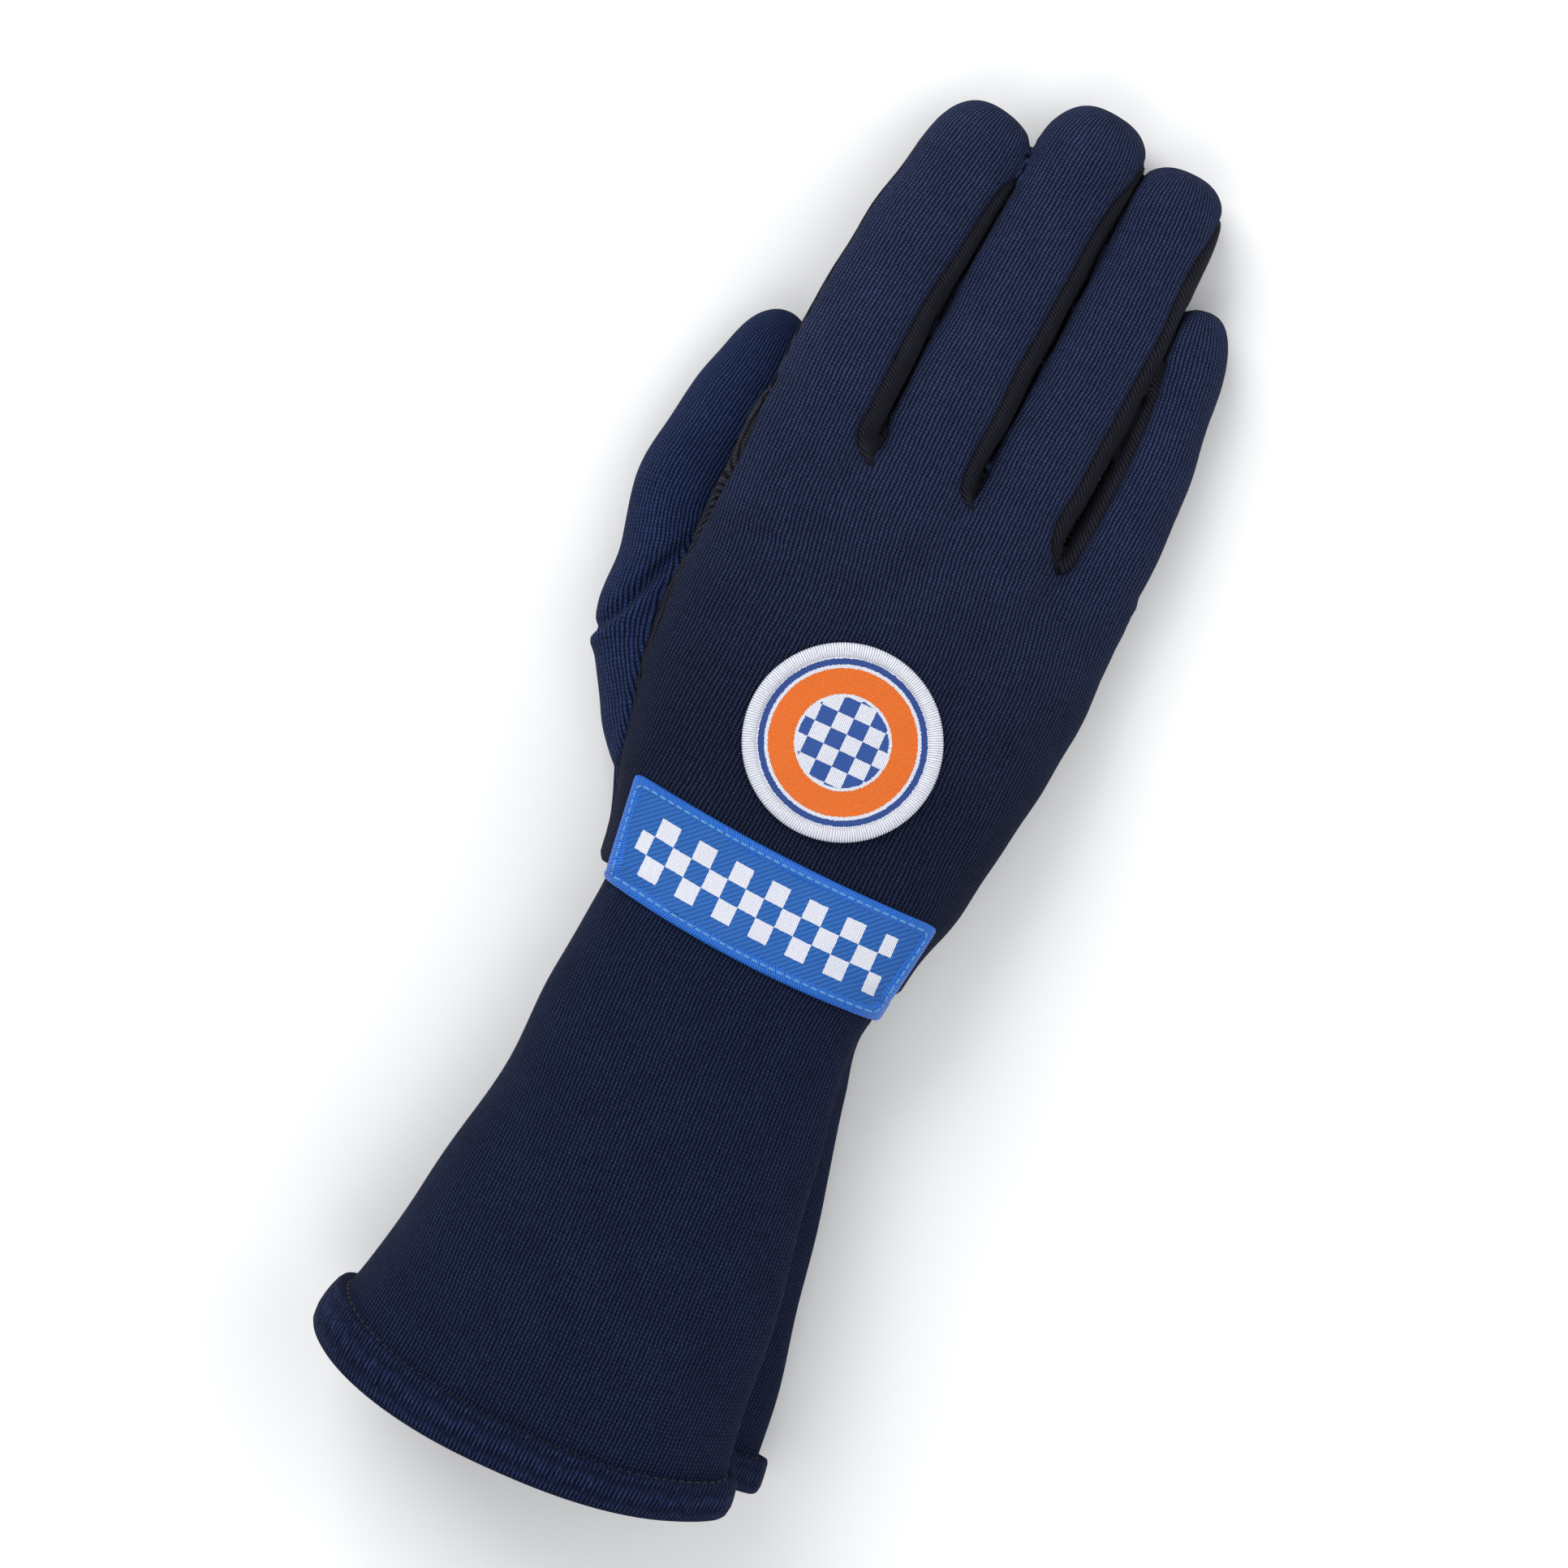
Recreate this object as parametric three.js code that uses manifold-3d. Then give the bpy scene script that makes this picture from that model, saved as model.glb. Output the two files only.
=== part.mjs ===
// A racing glove for the right hand, lying palm down: knitted panels, strips between the
// fingers, a thumb set in from the side, a long gauntlet cuff with a padded hem, and two
// sewn patches. Millimetres, +Z up, fingers along +Y, thumb on the -X side.
// Everything is first built about the middle of the wrist patch, then moved so that the
// origin is the centre of the bounding box, on the surface that the glove lies on.
import * as THREE from "three";
import { mergeVertices } from "three/addons/utils/BufferGeometryUtils.js";
import Module from "manifold-3d";

const wasm = await Module();
wasm.setup();

// Cloth and seams
const clothWall = 2;
const seamGap = 0.3;

// Hand, from the wrist seam to the roots of the fingers
const wristSeamY = -7.5;
const palmLength = 100;
const handWidth = 100;
const handDepth = 38;
const handRest = 20;
const ringWebDrop = 9;

// Cuff, from the wrist seam to the middle of the slanted mouth
const cuffLength = 115;
const wristWidth = 69;
const wristTop = 41;
const wristLift = 3;
const mouthWidth = 102;
const mouthTop = 58;
const mouthPress = 3;
const mouthSlant = 33;
const slantFloor = 0.59;
const slantBelow = 0.1;
const slantBend = 0.14;
const foldDepth = 11;
const hollowOverrun = 15;

// Hem of the cuff
const hemDepth = 8.8;
const hemWall = 4.6;
const hemGap = 0.6;

// Thumb
const thumbLength = 124;
const thumbWidth = 23.5;
const thumbDepth = 21;
const thumbTipHalf = 0.5;

// Fingers
const fingerLength = 95.9;
const fingerDepth = 21.5;

// Wrist patch
const patchTopWidth = 75;
const patchFootWidth = 68;
const patchHeight = 25;
const patchDrop = 3.2;
const patchSag = 1.6;
const patchFootSag = 2.24;
const patchFloor = 1.9;
const patchThick = 1.2;
const borderWidth = 3;
const borderThick = 1.8;

// Round badge
const badgeDiameter = 45;
const badgeX = 1;
const badgeY = 39.5;
const badgeThick = 1.5;
const badgeEdgeWidth = 3.5;
const badgeEdgeThick = 2.2;

// How finely the round forms are cut into flats
const bodySides = 26;
const fingerSides = 12;
const arcSteps = 3;
const discSides = 15;
const patchSteps = 8;
const partingSteps = 8;
const weldDistance = 0.002;

// The four fingers, index first. root and tip are where the finger's middle starts and ends
// across the hand, as shares of the hand's width, and web is where it starts along the hand, as
// a share of the palm's length. rootWidth and tipWidth are shares of the hand's width too.
// height and tipHeight are shares of the hand's depth; length and depth are shares of the longest
// finger's; bow and arch bend it sideways and upwards between its ends, as shares of its depth.
const fingerTable = [
  { name: "index", root: -0.346, tip: -0.254, height: 0.71, tipHeight: 0.263, bow: -0.11,
    arch: 0.07, length: 0.886, rootWidth: 0.266, tipWidth: 0.25, depth: 1, web: 1 },
  { name: "middle", root: -0.09, tip: -0.026, height: 0.566, tipHeight: 0.263, bow: -0.05,
    arch: 0.047, length: 1, rootWidth: 0.248, tipWidth: 0.246, depth: 1, web: 1 },
  { name: "ring", root: 0.148, tip: 0.186, height: 0.434, tipHeight: 0.253, bow: 0.07,
    arch: 0.024, length: 0.944, rootWidth: 0.24, tipWidth: 0.232, depth: 0.953, web: 1 },
  { name: "little", root: 0.375, tip: 0.342, height: 0.289, tipHeight: 0.221, bow: 0.17,
    arch: 0, length: 0.753, rootWidth: 0.216, tipWidth: 0.156, depth: 0.837, web: 0.92 },
];
const fingers = fingerTable.map((row) => ({
  ...row,
  length: row.length * fingerLength,
  depth: row.depth * fingerDepth,
}));

// Where the finger's sections are, as shares of its length, and how its end is rounded: the
// dome takes the whole width and a share of the depth. Inside the hand the finger narrows.
const fingerStations = [-0.2, 0, 0.4, 0.78, 0.9, 0.96, 0.988];
const fingerDomeStart = 0.8;
const fingerDomePower = 2.8;
const domeDepthShare = 0.9;
const rootNarrowing = 1.6;

// How square the sections of fingers and thumb are: 1 is an ellipse
const tubePower = 0.92;

// Seams of the strips between the fingers, in degrees from straight up. The strip starts
// narrow at the web and narrows to nothing just before the fingertip.
const stripRows = [
  { along: -0.03, upper: 26, lower: -26 },
  { along: 0.02, upper: 9, lower: -9 },
  { along: 0.07, upper: 0, lower: 0 },
  { along: 0.78, upper: 1, lower: -1 },
  { along: 0.9, upper: 18, lower: -18 },
  { along: 0.945, upper: 36, lower: -36 },
];
const stripLower = 128;
const stripUpper = {
  index: { ulnar: 43 },
  middle: { ulnar: 47, radial: 80 },
  ring: { ulnar: 47, radial: 80 },
  little: { radial: 38 },
};
const stripReach = 0.35;
const webRise = 6;
const webLength = 10;
const webInset = 2.6;
const webSides = 8;

// The web beside the little finger lies lower than the others: where it starts and ends to
// drop, as shares of the way between the roots of the last two fingers
const webDropStart = 0.3;
const webDropEnd = 0.75;

// Hand sections. along is a share of the palm's length; left and right are shares of the
// hand's width; deep is a share of the hand's depth; drop is how far the section's middle
// lies from handRest, as a share of the hand's depth; roll lifts the thumb side (degrees).
const handRows = [
  { along: -0.066, left: -0.372, right: 0.371, deep: 1, drop: 0.05, roll: 0, square: 2.8, web: 0 },
  { along: 0, left: -0.385, right: 0.38, deep: 1, drop: 0.05, roll: 0, square: 2.8, web: 0 },
  { along: 0.2, left: -0.438, right: 0.426, deep: 1.04, drop: 0.03, roll: 3, square: 2.6, web: 0 },
  { along: 0.35, left: -0.474, right: 0.453, deep: 1.04, drop: 0.02, roll: 5, square: 2.5, web: 0 },
  { along: 0.5, left: -0.492, right: 0.475, deep: 1.01, drop: 0.01, roll: 7, square: 2.4, web: 0 },
  { along: 0.65, left: -0.501, right: 0.49, deep: 0.96, drop: 0, roll: 9.5, square: 2.4, web: 0 },
  { along: 0.8, left: -0.502, right: 0.49, deep: 0.85, drop: 0, roll: 12, square: 2.4, web: 0 },
  { along: 0.9, left: -0.497, right: 0.485, deep: 0.72, drop: 0, roll: 13, square: 2.4, web: 0.4 },
  { along: 0.965, left: -0.49, right: 0.482, deep: 0.59, drop: 0, roll: 13, square: 2.4, web: 0.9 },
  { along: 1.005, left: -0.48, right: 0.472, deep: 0.46, drop: 0, roll: 13, square: 2.5, web: 1 },
  { along: 1.025, left: -0.468, right: 0.46, deep: 0.3, drop: 0, roll: 13, square: 2.6, web: 1 },
];

// Cuff sections from the mouth to the wrist. along is a share of the cuff's length; the other
// columns are shares of the way from the wrist's size to the mouth's.
const cuffRows = [
  { along: 1, left: 1, right: 1, rise: 1, press: 1, fold: 1, slant: 1, square: 2.25 },
  { along: 0.872, left: 0.75, right: 0.84, rise: 0.94, press: 1, fold: 0.95, slant: 0.88, square: 2.3 },
  { along: 0.702, left: 0.49, right: 0.64, rise: 0.76, press: 1, fold: 0.85, slant: 0.7, square: 2.35 },
  { along: 0.532, left: 0.32, right: 0.45, rise: 0.53, press: 0.95, fold: 0.75, slant: 0.5, square: 2.4 },
  { along: 0.362, left: 0.18, right: 0.22, rise: 0.3, press: 0.75, fold: 0.6, slant: 0.3, square: 2.5 },
  { along: 0.22, left: 0.1, right: 0.03, rise: 0.1, press: 0.5, fold: 0.35, slant: 0.15, square: 2.65 },
  { along: 0.11, left: 0.05, right: -0.05, rise: 0.02, press: 0.3, fold: 0.1, slant: 0.05, square: 2.75 },
  { along: 0.009, left: 0, right: 0, rise: 0, press: 0, fold: 0, slant: 0, square: 2.8 },
];

// The fold on the little-finger side: push is a share of the fold's depth, angle and spread
// are in degrees round the section, from +X towards +Z.
const foldCrowding = 0.35;
const foldLobes = [
  { angle: 21, spread: 10, push: 0.3 },
  { angle: 3, spread: 12, push: -1 },
  { angle: -26, spread: 16, push: 0.75 },
  { angle: -142, spread: 22, push: 0.4 },
];

// Profile of the hem band: along is a share of its depth from the seam to the rim, out a
// share of its wall, measured from the cuff's outer face.
const hemProfile = [
  { along: 0, out: -0.56 },
  { along: 0, out: 0.04 },
  { along: 0.2, out: 0.33 },
  { along: 0.5, out: 0.45 },
  { along: 0.8, out: 0.34 },
  { along: 0.96, out: 0.1 },
  { along: 1, out: -0.15 },
  { along: 0.95, out: -0.44 },
  { along: 0.75, out: -0.62 },
  { along: 0.4, out: -0.65 },
];

// Thumb path and sections. y is a share of the thumb's length, x and height are shares of the
// thumb's width and depth, swell and deep are shares of its width and depth.
const thumbRows = [
  { y: -0.04, x: -1.26, height: 0.82, swell: 0.64, deep: 1 },
  { y: 0.12, x: -1.36, height: 0.74, swell: 0.96, deep: 1.08 },
  { y: 0.24, x: -1.76, height: 0.67, swell: 1.06, deep: 1.12 },
  { y: 0.36, x: -2.1, height: 0.61, swell: 1.08, deep: 1.1 },
  { y: 0.48, x: -2.2, height: 0.56, swell: 1.02, deep: 1.05 },
  { y: 0.62, x: -2.37, height: 0.515, swell: 0.99, deep: 1 },
  { y: 0.8, x: -2.26, height: 0.48, swell: 0.96, deep: 0.96 },
  { y: 0.88, x: -2.2, height: 0.47, swell: 0.88, deep: 0.93 },
  { y: 0.94, x: -2.18, height: 0.46, swell: 0.71, deep: 0.82 },
  { y: 0.98, x: -2.17, height: 0.45, swell: 0.46, deep: 0.6 },
  { y: 0.998, x: -2.17, height: 0.45, swell: 0.2, deep: 0.3 },
];
const thumbSeamShare = -0.28;

const finishes = {
  navy: { color: 0x1b2644, roughness: 0.9 },
  charcoal: { color: 0x1e1f25, roughness: 0.9 },
  twill: { color: 0x155db4, roughness: 0.7 },
  border: { color: 0x1f6fd4, roughness: 0.6 },
  orange: { color: 0xf36d19, roughness: 0.6 },
  white: { color: 0xe8ebf5, roughness: 0.6 },
};

function lerp(from, to, share) {
  return from + (to - from) * share;
}

function smoothstep(low, high, value) {
  const share = Math.min(1, Math.max(0, (value - low) / (high - low)));
  return share * share * (3 - 2 * share);
}

function signedPower(value, power) {
  return Math.sign(value) * Math.abs(value) ** power;
}

// Reads a table with a straight line between its rows
function readTable(rows, key, at, column) {
  const last = rows.length - 1;
  for (let index = 0; index < last; index += 1) {
    const low = rows[index];
    const high = rows[index + 1];
    if (at <= Math.max(low[key], high[key]) && at >= Math.min(low[key], high[key])) {
      return lerp(low[column], high[column], (at - low[key]) / (high[key] - low[key]));
    }
  }
  const first = rows[0];
  const nearFirst = Math.abs(at - first[key]) < Math.abs(at - rows[last][key]);
  return nearFirst ? first[column] : rows[last][column];
}

// A point [x, z] ring moved inwards by a distance (outwards where it is negative)
function insetRing(ring, distance) {
  const count = ring.length;
  return ring.map((point, index) => {
    const before = ring[(index + count - 1) % count];
    const after = ring[(index + 1) % count];
    const edgeIn = new THREE.Vector2(point[0] - before[0], point[1] - before[1]);
    const edgeOut = new THREE.Vector2(after[0] - point[0], after[1] - point[1]);
    const normal = edgeIn.normalize().add(edgeOut.normalize());
    normal.set(-normal.y, normal.x).normalize();
    return [point[0] + normal.x * distance, point[1] + normal.y * distance];
  });
}

// A closed solid through rings of points with as many points each
function loftSolid(rings) {
  const sides = rings[0].length;
  const positions = [];
  const faces = [];
  rings.forEach((ring) => ring.forEach((point) => positions.push(...point)));
  for (let ring = 0; ring < rings.length - 1; ring += 1) {
    for (let side = 0; side < sides; side += 1) {
      const next = (side + 1) % sides;
      const low = ring * sides;
      const high = low + sides;
      faces.push(low + side, low + next, high + next, low + side, high + next, high + side);
    }
  }
  [0, rings.length - 1].forEach((ring) => {
    const centre = [0, 1, 2].map((axis) => rings[ring].reduce((sum, p) => sum + p[axis], 0) / sides);
    const hub = positions.length / 3;
    positions.push(...centre);
    for (let side = 0; side < sides; side += 1) {
      const edge = [ring * sides + side, ring * sides + ((side + 1) % sides)];
      faces.push(...(ring === 0 ? [hub, edge[1], edge[0]] : [hub, edge[0], edge[1]]));
    }
  });
  return meshSolid(positions, faces);
}

// A closed solid swept round: each ring is a profile, and the last ring joins the first
function wreathSolid(rings) {
  const sides = rings[0].length;
  const positions = rings.flat(2);
  const faces = [];
  rings.forEach((_, ring) => {
    const low = ring * sides;
    const high = ((ring + 1) % rings.length) * sides;
    for (let side = 0; side < sides; side += 1) {
      const next = (side + 1) % sides;
      faces.push(low + side, low + next, high + next, low + side, high + next, high + side);
    }
  });
  return meshSolid(positions, faces);
}

// Makes a solid of a triangle mesh and turns it right side out where it is inside out
function meshSolid(positions, faces) {
  const corner = (index) => new THREE.Vector3().fromArray(positions, faces[index] * 3);
  let volume = 0;
  for (let face = 0; face < faces.length; face += 3) {
    volume += corner(face).dot(corner(face + 1).cross(corner(face + 2)));
  }
  const ordered = volume < 0 ? faces.slice().reverse() : faces;
  return new wasm.Manifold(new wasm.Mesh({
    numProp: 3,
    vertProperties: new Float32Array(positions),
    triVerts: new Uint32Array(ordered),
  }));
}

function geometrySolid(geometry) {
  const bare = geometry.clone();
  bare.deleteAttribute("normal");
  bare.deleteAttribute("uv");
  const merged = mergeVertices(bare, 1e-4);
  return meshSolid([...merged.attributes.position.array], [...merged.index.array]);
}

function boxSolid(low, high) {
  const box = new THREE.BoxGeometry(...low.map((value, axis) => high[axis] - value));
  box.translate(...low.map((value, axis) => (value + high[axis]) / 2));
  return geometrySolid(box);
}

function joinSolids(solids) {
  return solids.reduce((whole, solid) => whole.add(solid));
}

// The largest body of a cut solid; what is dropped are crumbs along the seams
function mainBody(solid) {
  return solid.decompose().sort((a, b) => b.volume() - a.volume())[0];
}

// Rings of the hand and cuff, as one long tube from the mouth to the knuckles
function sectionRing({ centreX, centreZ, halfWidth, halfDepth, roll, square, fold }) {
  const ring = [];
  const turn = THREE.MathUtils.degToRad(roll);
  for (let side = 0; side < bodySides; side += 1) {
    const even = (side / bodySides) * 2 * Math.PI;
    const angle = even - foldCrowding * Math.sin(even);
    const across = halfWidth * signedPower(Math.cos(angle), 2 / square);
    const up = halfDepth * signedPower(Math.sin(angle), 2 / square);
    const degrees = THREE.MathUtils.radToDeg(angle > Math.PI ? angle - 2 * Math.PI : angle);
    const push = foldLobes.reduce((sum, lobe) => {
      const turned = THREE.MathUtils.euclideanModulo(degrees - lobe.angle + 180, 360) - 180;
      const away = turned / lobe.spread;
      return sum + lobe.push * Math.exp(-0.5 * away * away);
    }, 0);
    const x = centreX + across * Math.cos(turn) + up * Math.sin(turn) + push * fold * foldDepth;
    const z = centreZ - across * Math.sin(turn) + up * Math.cos(turn);
    ring.push([x, Math.max(0, z)]);
  }
  return ring;
}

// The mouth slants above slantFloor and is nearly square below it, with a soft bend between
function slantHeight(z) {
  const floor = slantFloor * mouthTop;
  const above = z - floor;
  const bend = Math.hypot(above, slantBend * mouthTop);
  return floor + ((1 + slantBelow) * above + (1 - slantBelow) * bend) / 2;
}

function cuffRing(row, inset) {
  const halfLeft = lerp(wristWidth, mouthWidth, row.left) / 2;
  const halfRight = lerp(wristWidth, mouthWidth, row.right) / 2;
  const top = lerp(wristTop, mouthTop, row.rise);
  const low = lerp(wristLift, -mouthPress, row.press);
  const flat = sectionRing({
    centreX: (halfRight - halfLeft) / 2,
    centreZ: (top + low) / 2,
    halfWidth: (halfLeft + halfRight) / 2,
    halfDepth: (top - low) / 2,
    roll: 0,
    square: row.square,
    fold: row.fold,
  });
  const y = wristSeamY - row.along * cuffLength;
  const lean = (row.slant * mouthSlant) / mouthTop;
  return insetRing(flat, inset).map(([x, z]) => [x, y - lean * (slantHeight(z) - mouthTop / 2), z]);
}

function handRing(row, inset) {
  const flat = sectionRing({
    centreX: ((row.left + row.right) / 2) * handWidth,
    centreZ: handRest + row.drop * handDepth,
    halfWidth: ((row.right - row.left) / 2) * handWidth,
    halfDepth: (row.deep * handDepth) / 2,
    roll: row.roll,
    square: row.square,
    fold: 0,
  });
  const webFrom = lerp(fingers[2].root, fingers[3].root, webDropStart) * handWidth;
  const webTo = lerp(fingers[2].root, fingers[3].root, webDropEnd) * handWidth;
  return insetRing(flat, inset).map(([x, z]) => {
    const drop = row.web * ringWebDrop * smoothstep(webFrom, webTo, x);
    return [x, row.along * palmLength - drop, z];
  });
}

// The outer face of the hand and cuff moved inwards by inset; past the mouth by overrun
function bodySolid(inset, overrun) {
  const rings = cuffRows.slice(1).map((row) => cuffRing(row, inset));
  const mouth = hemRings(inset, -hemGap);
  const rim = hemRings(inset, overrun);
  rings.unshift(mouth);
  if (overrun > 0) rings.unshift(rim);
  const knuckles = handRows.map((row, index) => {
    const ring = handRing(row, inset);
    return index === handRows.length - 1 ? ring.map(([x, y, z]) => [x, y - inset, z]) : ring;
  });
  return loftSolid([...rings, ...knuckles]);
}

// The ring at a distance past the hem's seam, along the cuff's own direction
function hemRings(inset, past) {
  const rim = cuffRing(cuffRows[0], inset);
  const before = cuffRing(cuffRows[1], inset);
  return rim.map((point, side) => {
    const tip = new THREE.Vector3(...point);
    const along = tip.clone().sub(new THREE.Vector3(...before[side])).normalize();
    return tip.addScaledVector(along, past - hemDepth).toArray();
  });
}

function hemSolid() {
  const slices = hemProfile.map(({ along, out }) => hemRings(-out * hemWall, along * hemDepth));
  const profiles = slices[0].map((_, side) => slices.map((slice) => {
    const [x, y, z] = slice[side];
    return [x, y, Math.max(0, z)];
  }));
  return wreathSolid(profiles);
}

// Centre and half sizes of a finger at a share of its length; inset shrinks it from outside
function fingerSection(finger, along, inset) {
  const length = finger.length - inset;
  const share = (along * length) / finger.length;
  const past = Math.max(0, share);
  const bend = Math.sin(Math.PI * past);
  const dome = Math.max(0, (along - fingerDomeStart) / (1 - fingerDomeStart));
  const round = (1 - dome ** fingerDomePower) ** (1 / fingerDomePower);
    const taper = 1 + Math.min(0, along) * rootNarrowing;
  const width = lerp(finger.rootWidth, finger.tipWidth, past) * handWidth * taper;
  return {
    centre: new THREE.Vector3(
      lerp(finger.root, finger.tip, past) * handWidth + finger.bow * bend * finger.depth,
      finger.web * palmLength + share * finger.length,
      lerp(finger.height, finger.tipHeight, past) * handDepth + finger.arch * bend * finger.depth,
    ),
    halfWidth: (width / 2 - inset) * round,
    halfDepth: (finger.depth / 2 - inset) * lerp(1, round, domeDepthShare),
  };
}

// Points round a tube's section: angles are in degrees from straight up, towards +X
function sectionPoints(section, ahead, angles, floor) {
  const side = ahead.clone().cross(new THREE.Vector3(0, 0, 1)).normalize();
  const up = side.clone().cross(ahead).normalize();
  return angles.map((degrees) => {
    const angle = THREE.MathUtils.degToRad(degrees);
    const point = section.centre.clone();
    point.addScaledVector(side, section.halfWidth * signedPower(Math.sin(angle), tubePower));
    point.addScaledVector(up, section.halfDepth * signedPower(Math.cos(angle), tubePower));
    return [point.x, point.y, Math.max(floor, point.z)];
  });
}

function directions(sections) {
  return sections.map((_, index) => {
    const before = sections[Math.max(0, index - 1)].centre;
    const after = sections[Math.min(sections.length - 1, index + 1)].centre;
    return after.clone().sub(before).normalize();
  });
}

function roundAngles(sides) {
  return Array.from({ length: sides }, (_, side) => (side / sides) * 360);
}

function fingerSolid(finger, inset) {
  const sections = fingerStations.map((along) => fingerSection(finger, along, inset));
  const ahead = directions(sections);
  const rings = sections.map((section, index) =>
    sectionPoints(section, ahead[index], roundAngles(fingerSides), inset));
  return loftSolid(rings);
}

function thumbSection(row, inset) {
  const shorter = row.y > 0.5 ? inset : 0;
  return {
    centre: new THREE.Vector3(
      row.x * thumbWidth,
      row.y * thumbLength - shorter,
      row.height * thumbDepth,
    ),
    halfWidth: Math.max(thumbTipHalf, (row.swell * thumbWidth) / 2 - inset),
    halfDepth: Math.max(thumbTipHalf, (row.deep * thumbDepth) / 2 - inset),
  };
}

function thumbSolid(inset) {
  const sections = thumbRows.map((row) => thumbSection(row, inset));
  const ahead = directions(sections);
  const rings = sections.map((section, index) =>
    sectionPoints(section, ahead[index], roundAngles(fingerSides), inset));
  return loftSolid(rings);
}

// The sector of a finger that the strip beside it takes, from the web to near the fingertip
function stripSector(finger, sideName, grow) {
  const sign = sideName === "ulnar" ? 1 : -1;
  const upperSeam = stripUpper[finger.name][sideName];
  const spread = THREE.MathUtils.radToDeg((grow * 2) / (finger.rootWidth * handWidth));
  const sections = stripRows.map((row, index) => {
    const past = index === 0 ? -grow : index === stripRows.length - 1 ? grow : 0;
    return fingerSection(finger, row.along + past / finger.length, -stripReach - grow);
  });
  const ahead = directions(sections);
  const rings = sections.map((section, index) => {
    const row = stripRows[index];
    const closing = (stripLower - upperSeam) / 2 / stripRows.at(-1).upper;
    const from = upperSeam + row.upper * Math.min(1, closing) - spread;
    const to = stripLower + row.lower * Math.min(1, closing) + spread;
    const angles = Array.from({ length: arcSteps + 1 }, (_, step) =>
      sign * lerp(from, to, step / arcSteps));
    const arc = sectionPoints(section, ahead[index], angles, -1);
    return [section.centre.toArray(), ...arc];
  });
  return loftSolid(rings);
}

// The oval round the root between two fingers, where the strip is folded at the web
function webOval(left, right, grow) {
  const leftRoot = fingerSection(left, 0, 0);
  const rightRoot = fingerSection(right, 0, 0);
  const leftX = leftRoot.centre.x + leftRoot.halfWidth - webInset - grow;
  const rightX = rightRoot.centre.x - rightRoot.halfWidth + webInset + grow;
  const startY = Math.min(left.web, right.web) * palmLength - grow;
  const endY = Math.max(left.web, right.web) * palmLength + webLength + grow;
  const middleZ = (leftRoot.centre.z + rightRoot.centre.z) / 2;
  const oval = new THREE.CylinderGeometry(0.5, 0.5, 2 * (webRise + grow), webSides);
  oval.rotateX(Math.PI / 2);
  oval.scale(rightX - leftX, endY - startY, 1);
  oval.translate((leftX + rightX) / 2, (startY + endY) / 2, middleZ);
  return geometrySolid(oval);
}

function stripRegion(left, right, grow) {
  return joinSolids([
    stripSector(left, "ulnar", grow),
    stripSector(right, "radial", grow),
    webOval(left, right, grow),
  ]);
}

// Height of the side seams between back and palm: shares of the hand's depth above the
// middle of the section on the thumb side and on the little finger's side
const seamRows = [
  { along: -0.2, left: -0.02, right: 0 },
  { along: 0, left: 0, right: 0 },
  { along: 0.35, left: 0.06, right: 0 },
  { along: 0.65, left: 0.06, right: 0.02 },
  { along: 1, left: 0.06, right: 0.02 },
  { along: 1.5, left: 0.06, right: 0 },
  { along: 2.1, left: 0.02, right: 0 },
];
// How the seam surface crosses from the hand's roll to the fingers' middles, along the hand,
// and where it leaves the outer fingers for the sides and stops short of the fingertips
const knuckleStart = 0.95;
const knuckleEnd = 1.1;
const sideShare = 0.3;
const tipShare = 0.97;

// Everything below the seams between back and palm, from the wrist to past the fingertips
function palmRegion(lower) {
  const reach = handWidth;
  const rings = Array.from({ length: partingSteps + 1 }, (_, step) => {
    const along = lerp(seamRows[0].along, seamRows.at(-1).along, step / partingSteps);
    const y = along * palmLength;
    const row = Math.min(along, 1);
    const roll = THREE.MathUtils.degToRad(readTable(handRows, "along", row, "roll"));
    const middle = handRest + readTable(handRows, "along", row, "drop") * handDepth;
    const leftX = readTable(handRows, "along", row, "left") * handWidth;
    const rightX = readTable(handRows, "along", row, "right") * handWidth;
    const points = fingers.map((finger) => {
      const share = (y - finger.web * palmLength) / finger.length;
      const centre = fingerSection(finger, Math.min(tipShare, Math.max(0, share)), 0).centre;
      return [centre.x, centre.z];
    });
    const onHand = smoothstep(knuckleEnd, knuckleStart, along);
    const flatten = (x, z) => lerp(z, middle - x * Math.tan(roll), onHand);
    const ends = [
      [leftX, flatten(leftX, points[0][1])],
      [rightX, flatten(rightX, points[3][1])],
    ];
    const leftZ = ends[0][1] + readTable(seamRows, "along", along, "left") * handDepth;
    const rightZ = ends[1][1] + readTable(seamRows, "along", along, "right") * handDepth;
    const line = [
      [-reach, leftZ],
      [lerp(leftX, points[0][0], sideShare), leftZ],
      ...points.map(([x, z]) => [x, flatten(x, z)]),
      [lerp(rightX, points[3][0], sideShare), rightZ],
      [reach, rightZ],
    ];
    const surface = line.map(([x, z]) => [x, y, z - lower]);
    return [...surface, [reach, y, -handDepth], [-reach, y, -handDepth]];
  });
  return ribbonSolid(rings);
}

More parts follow.
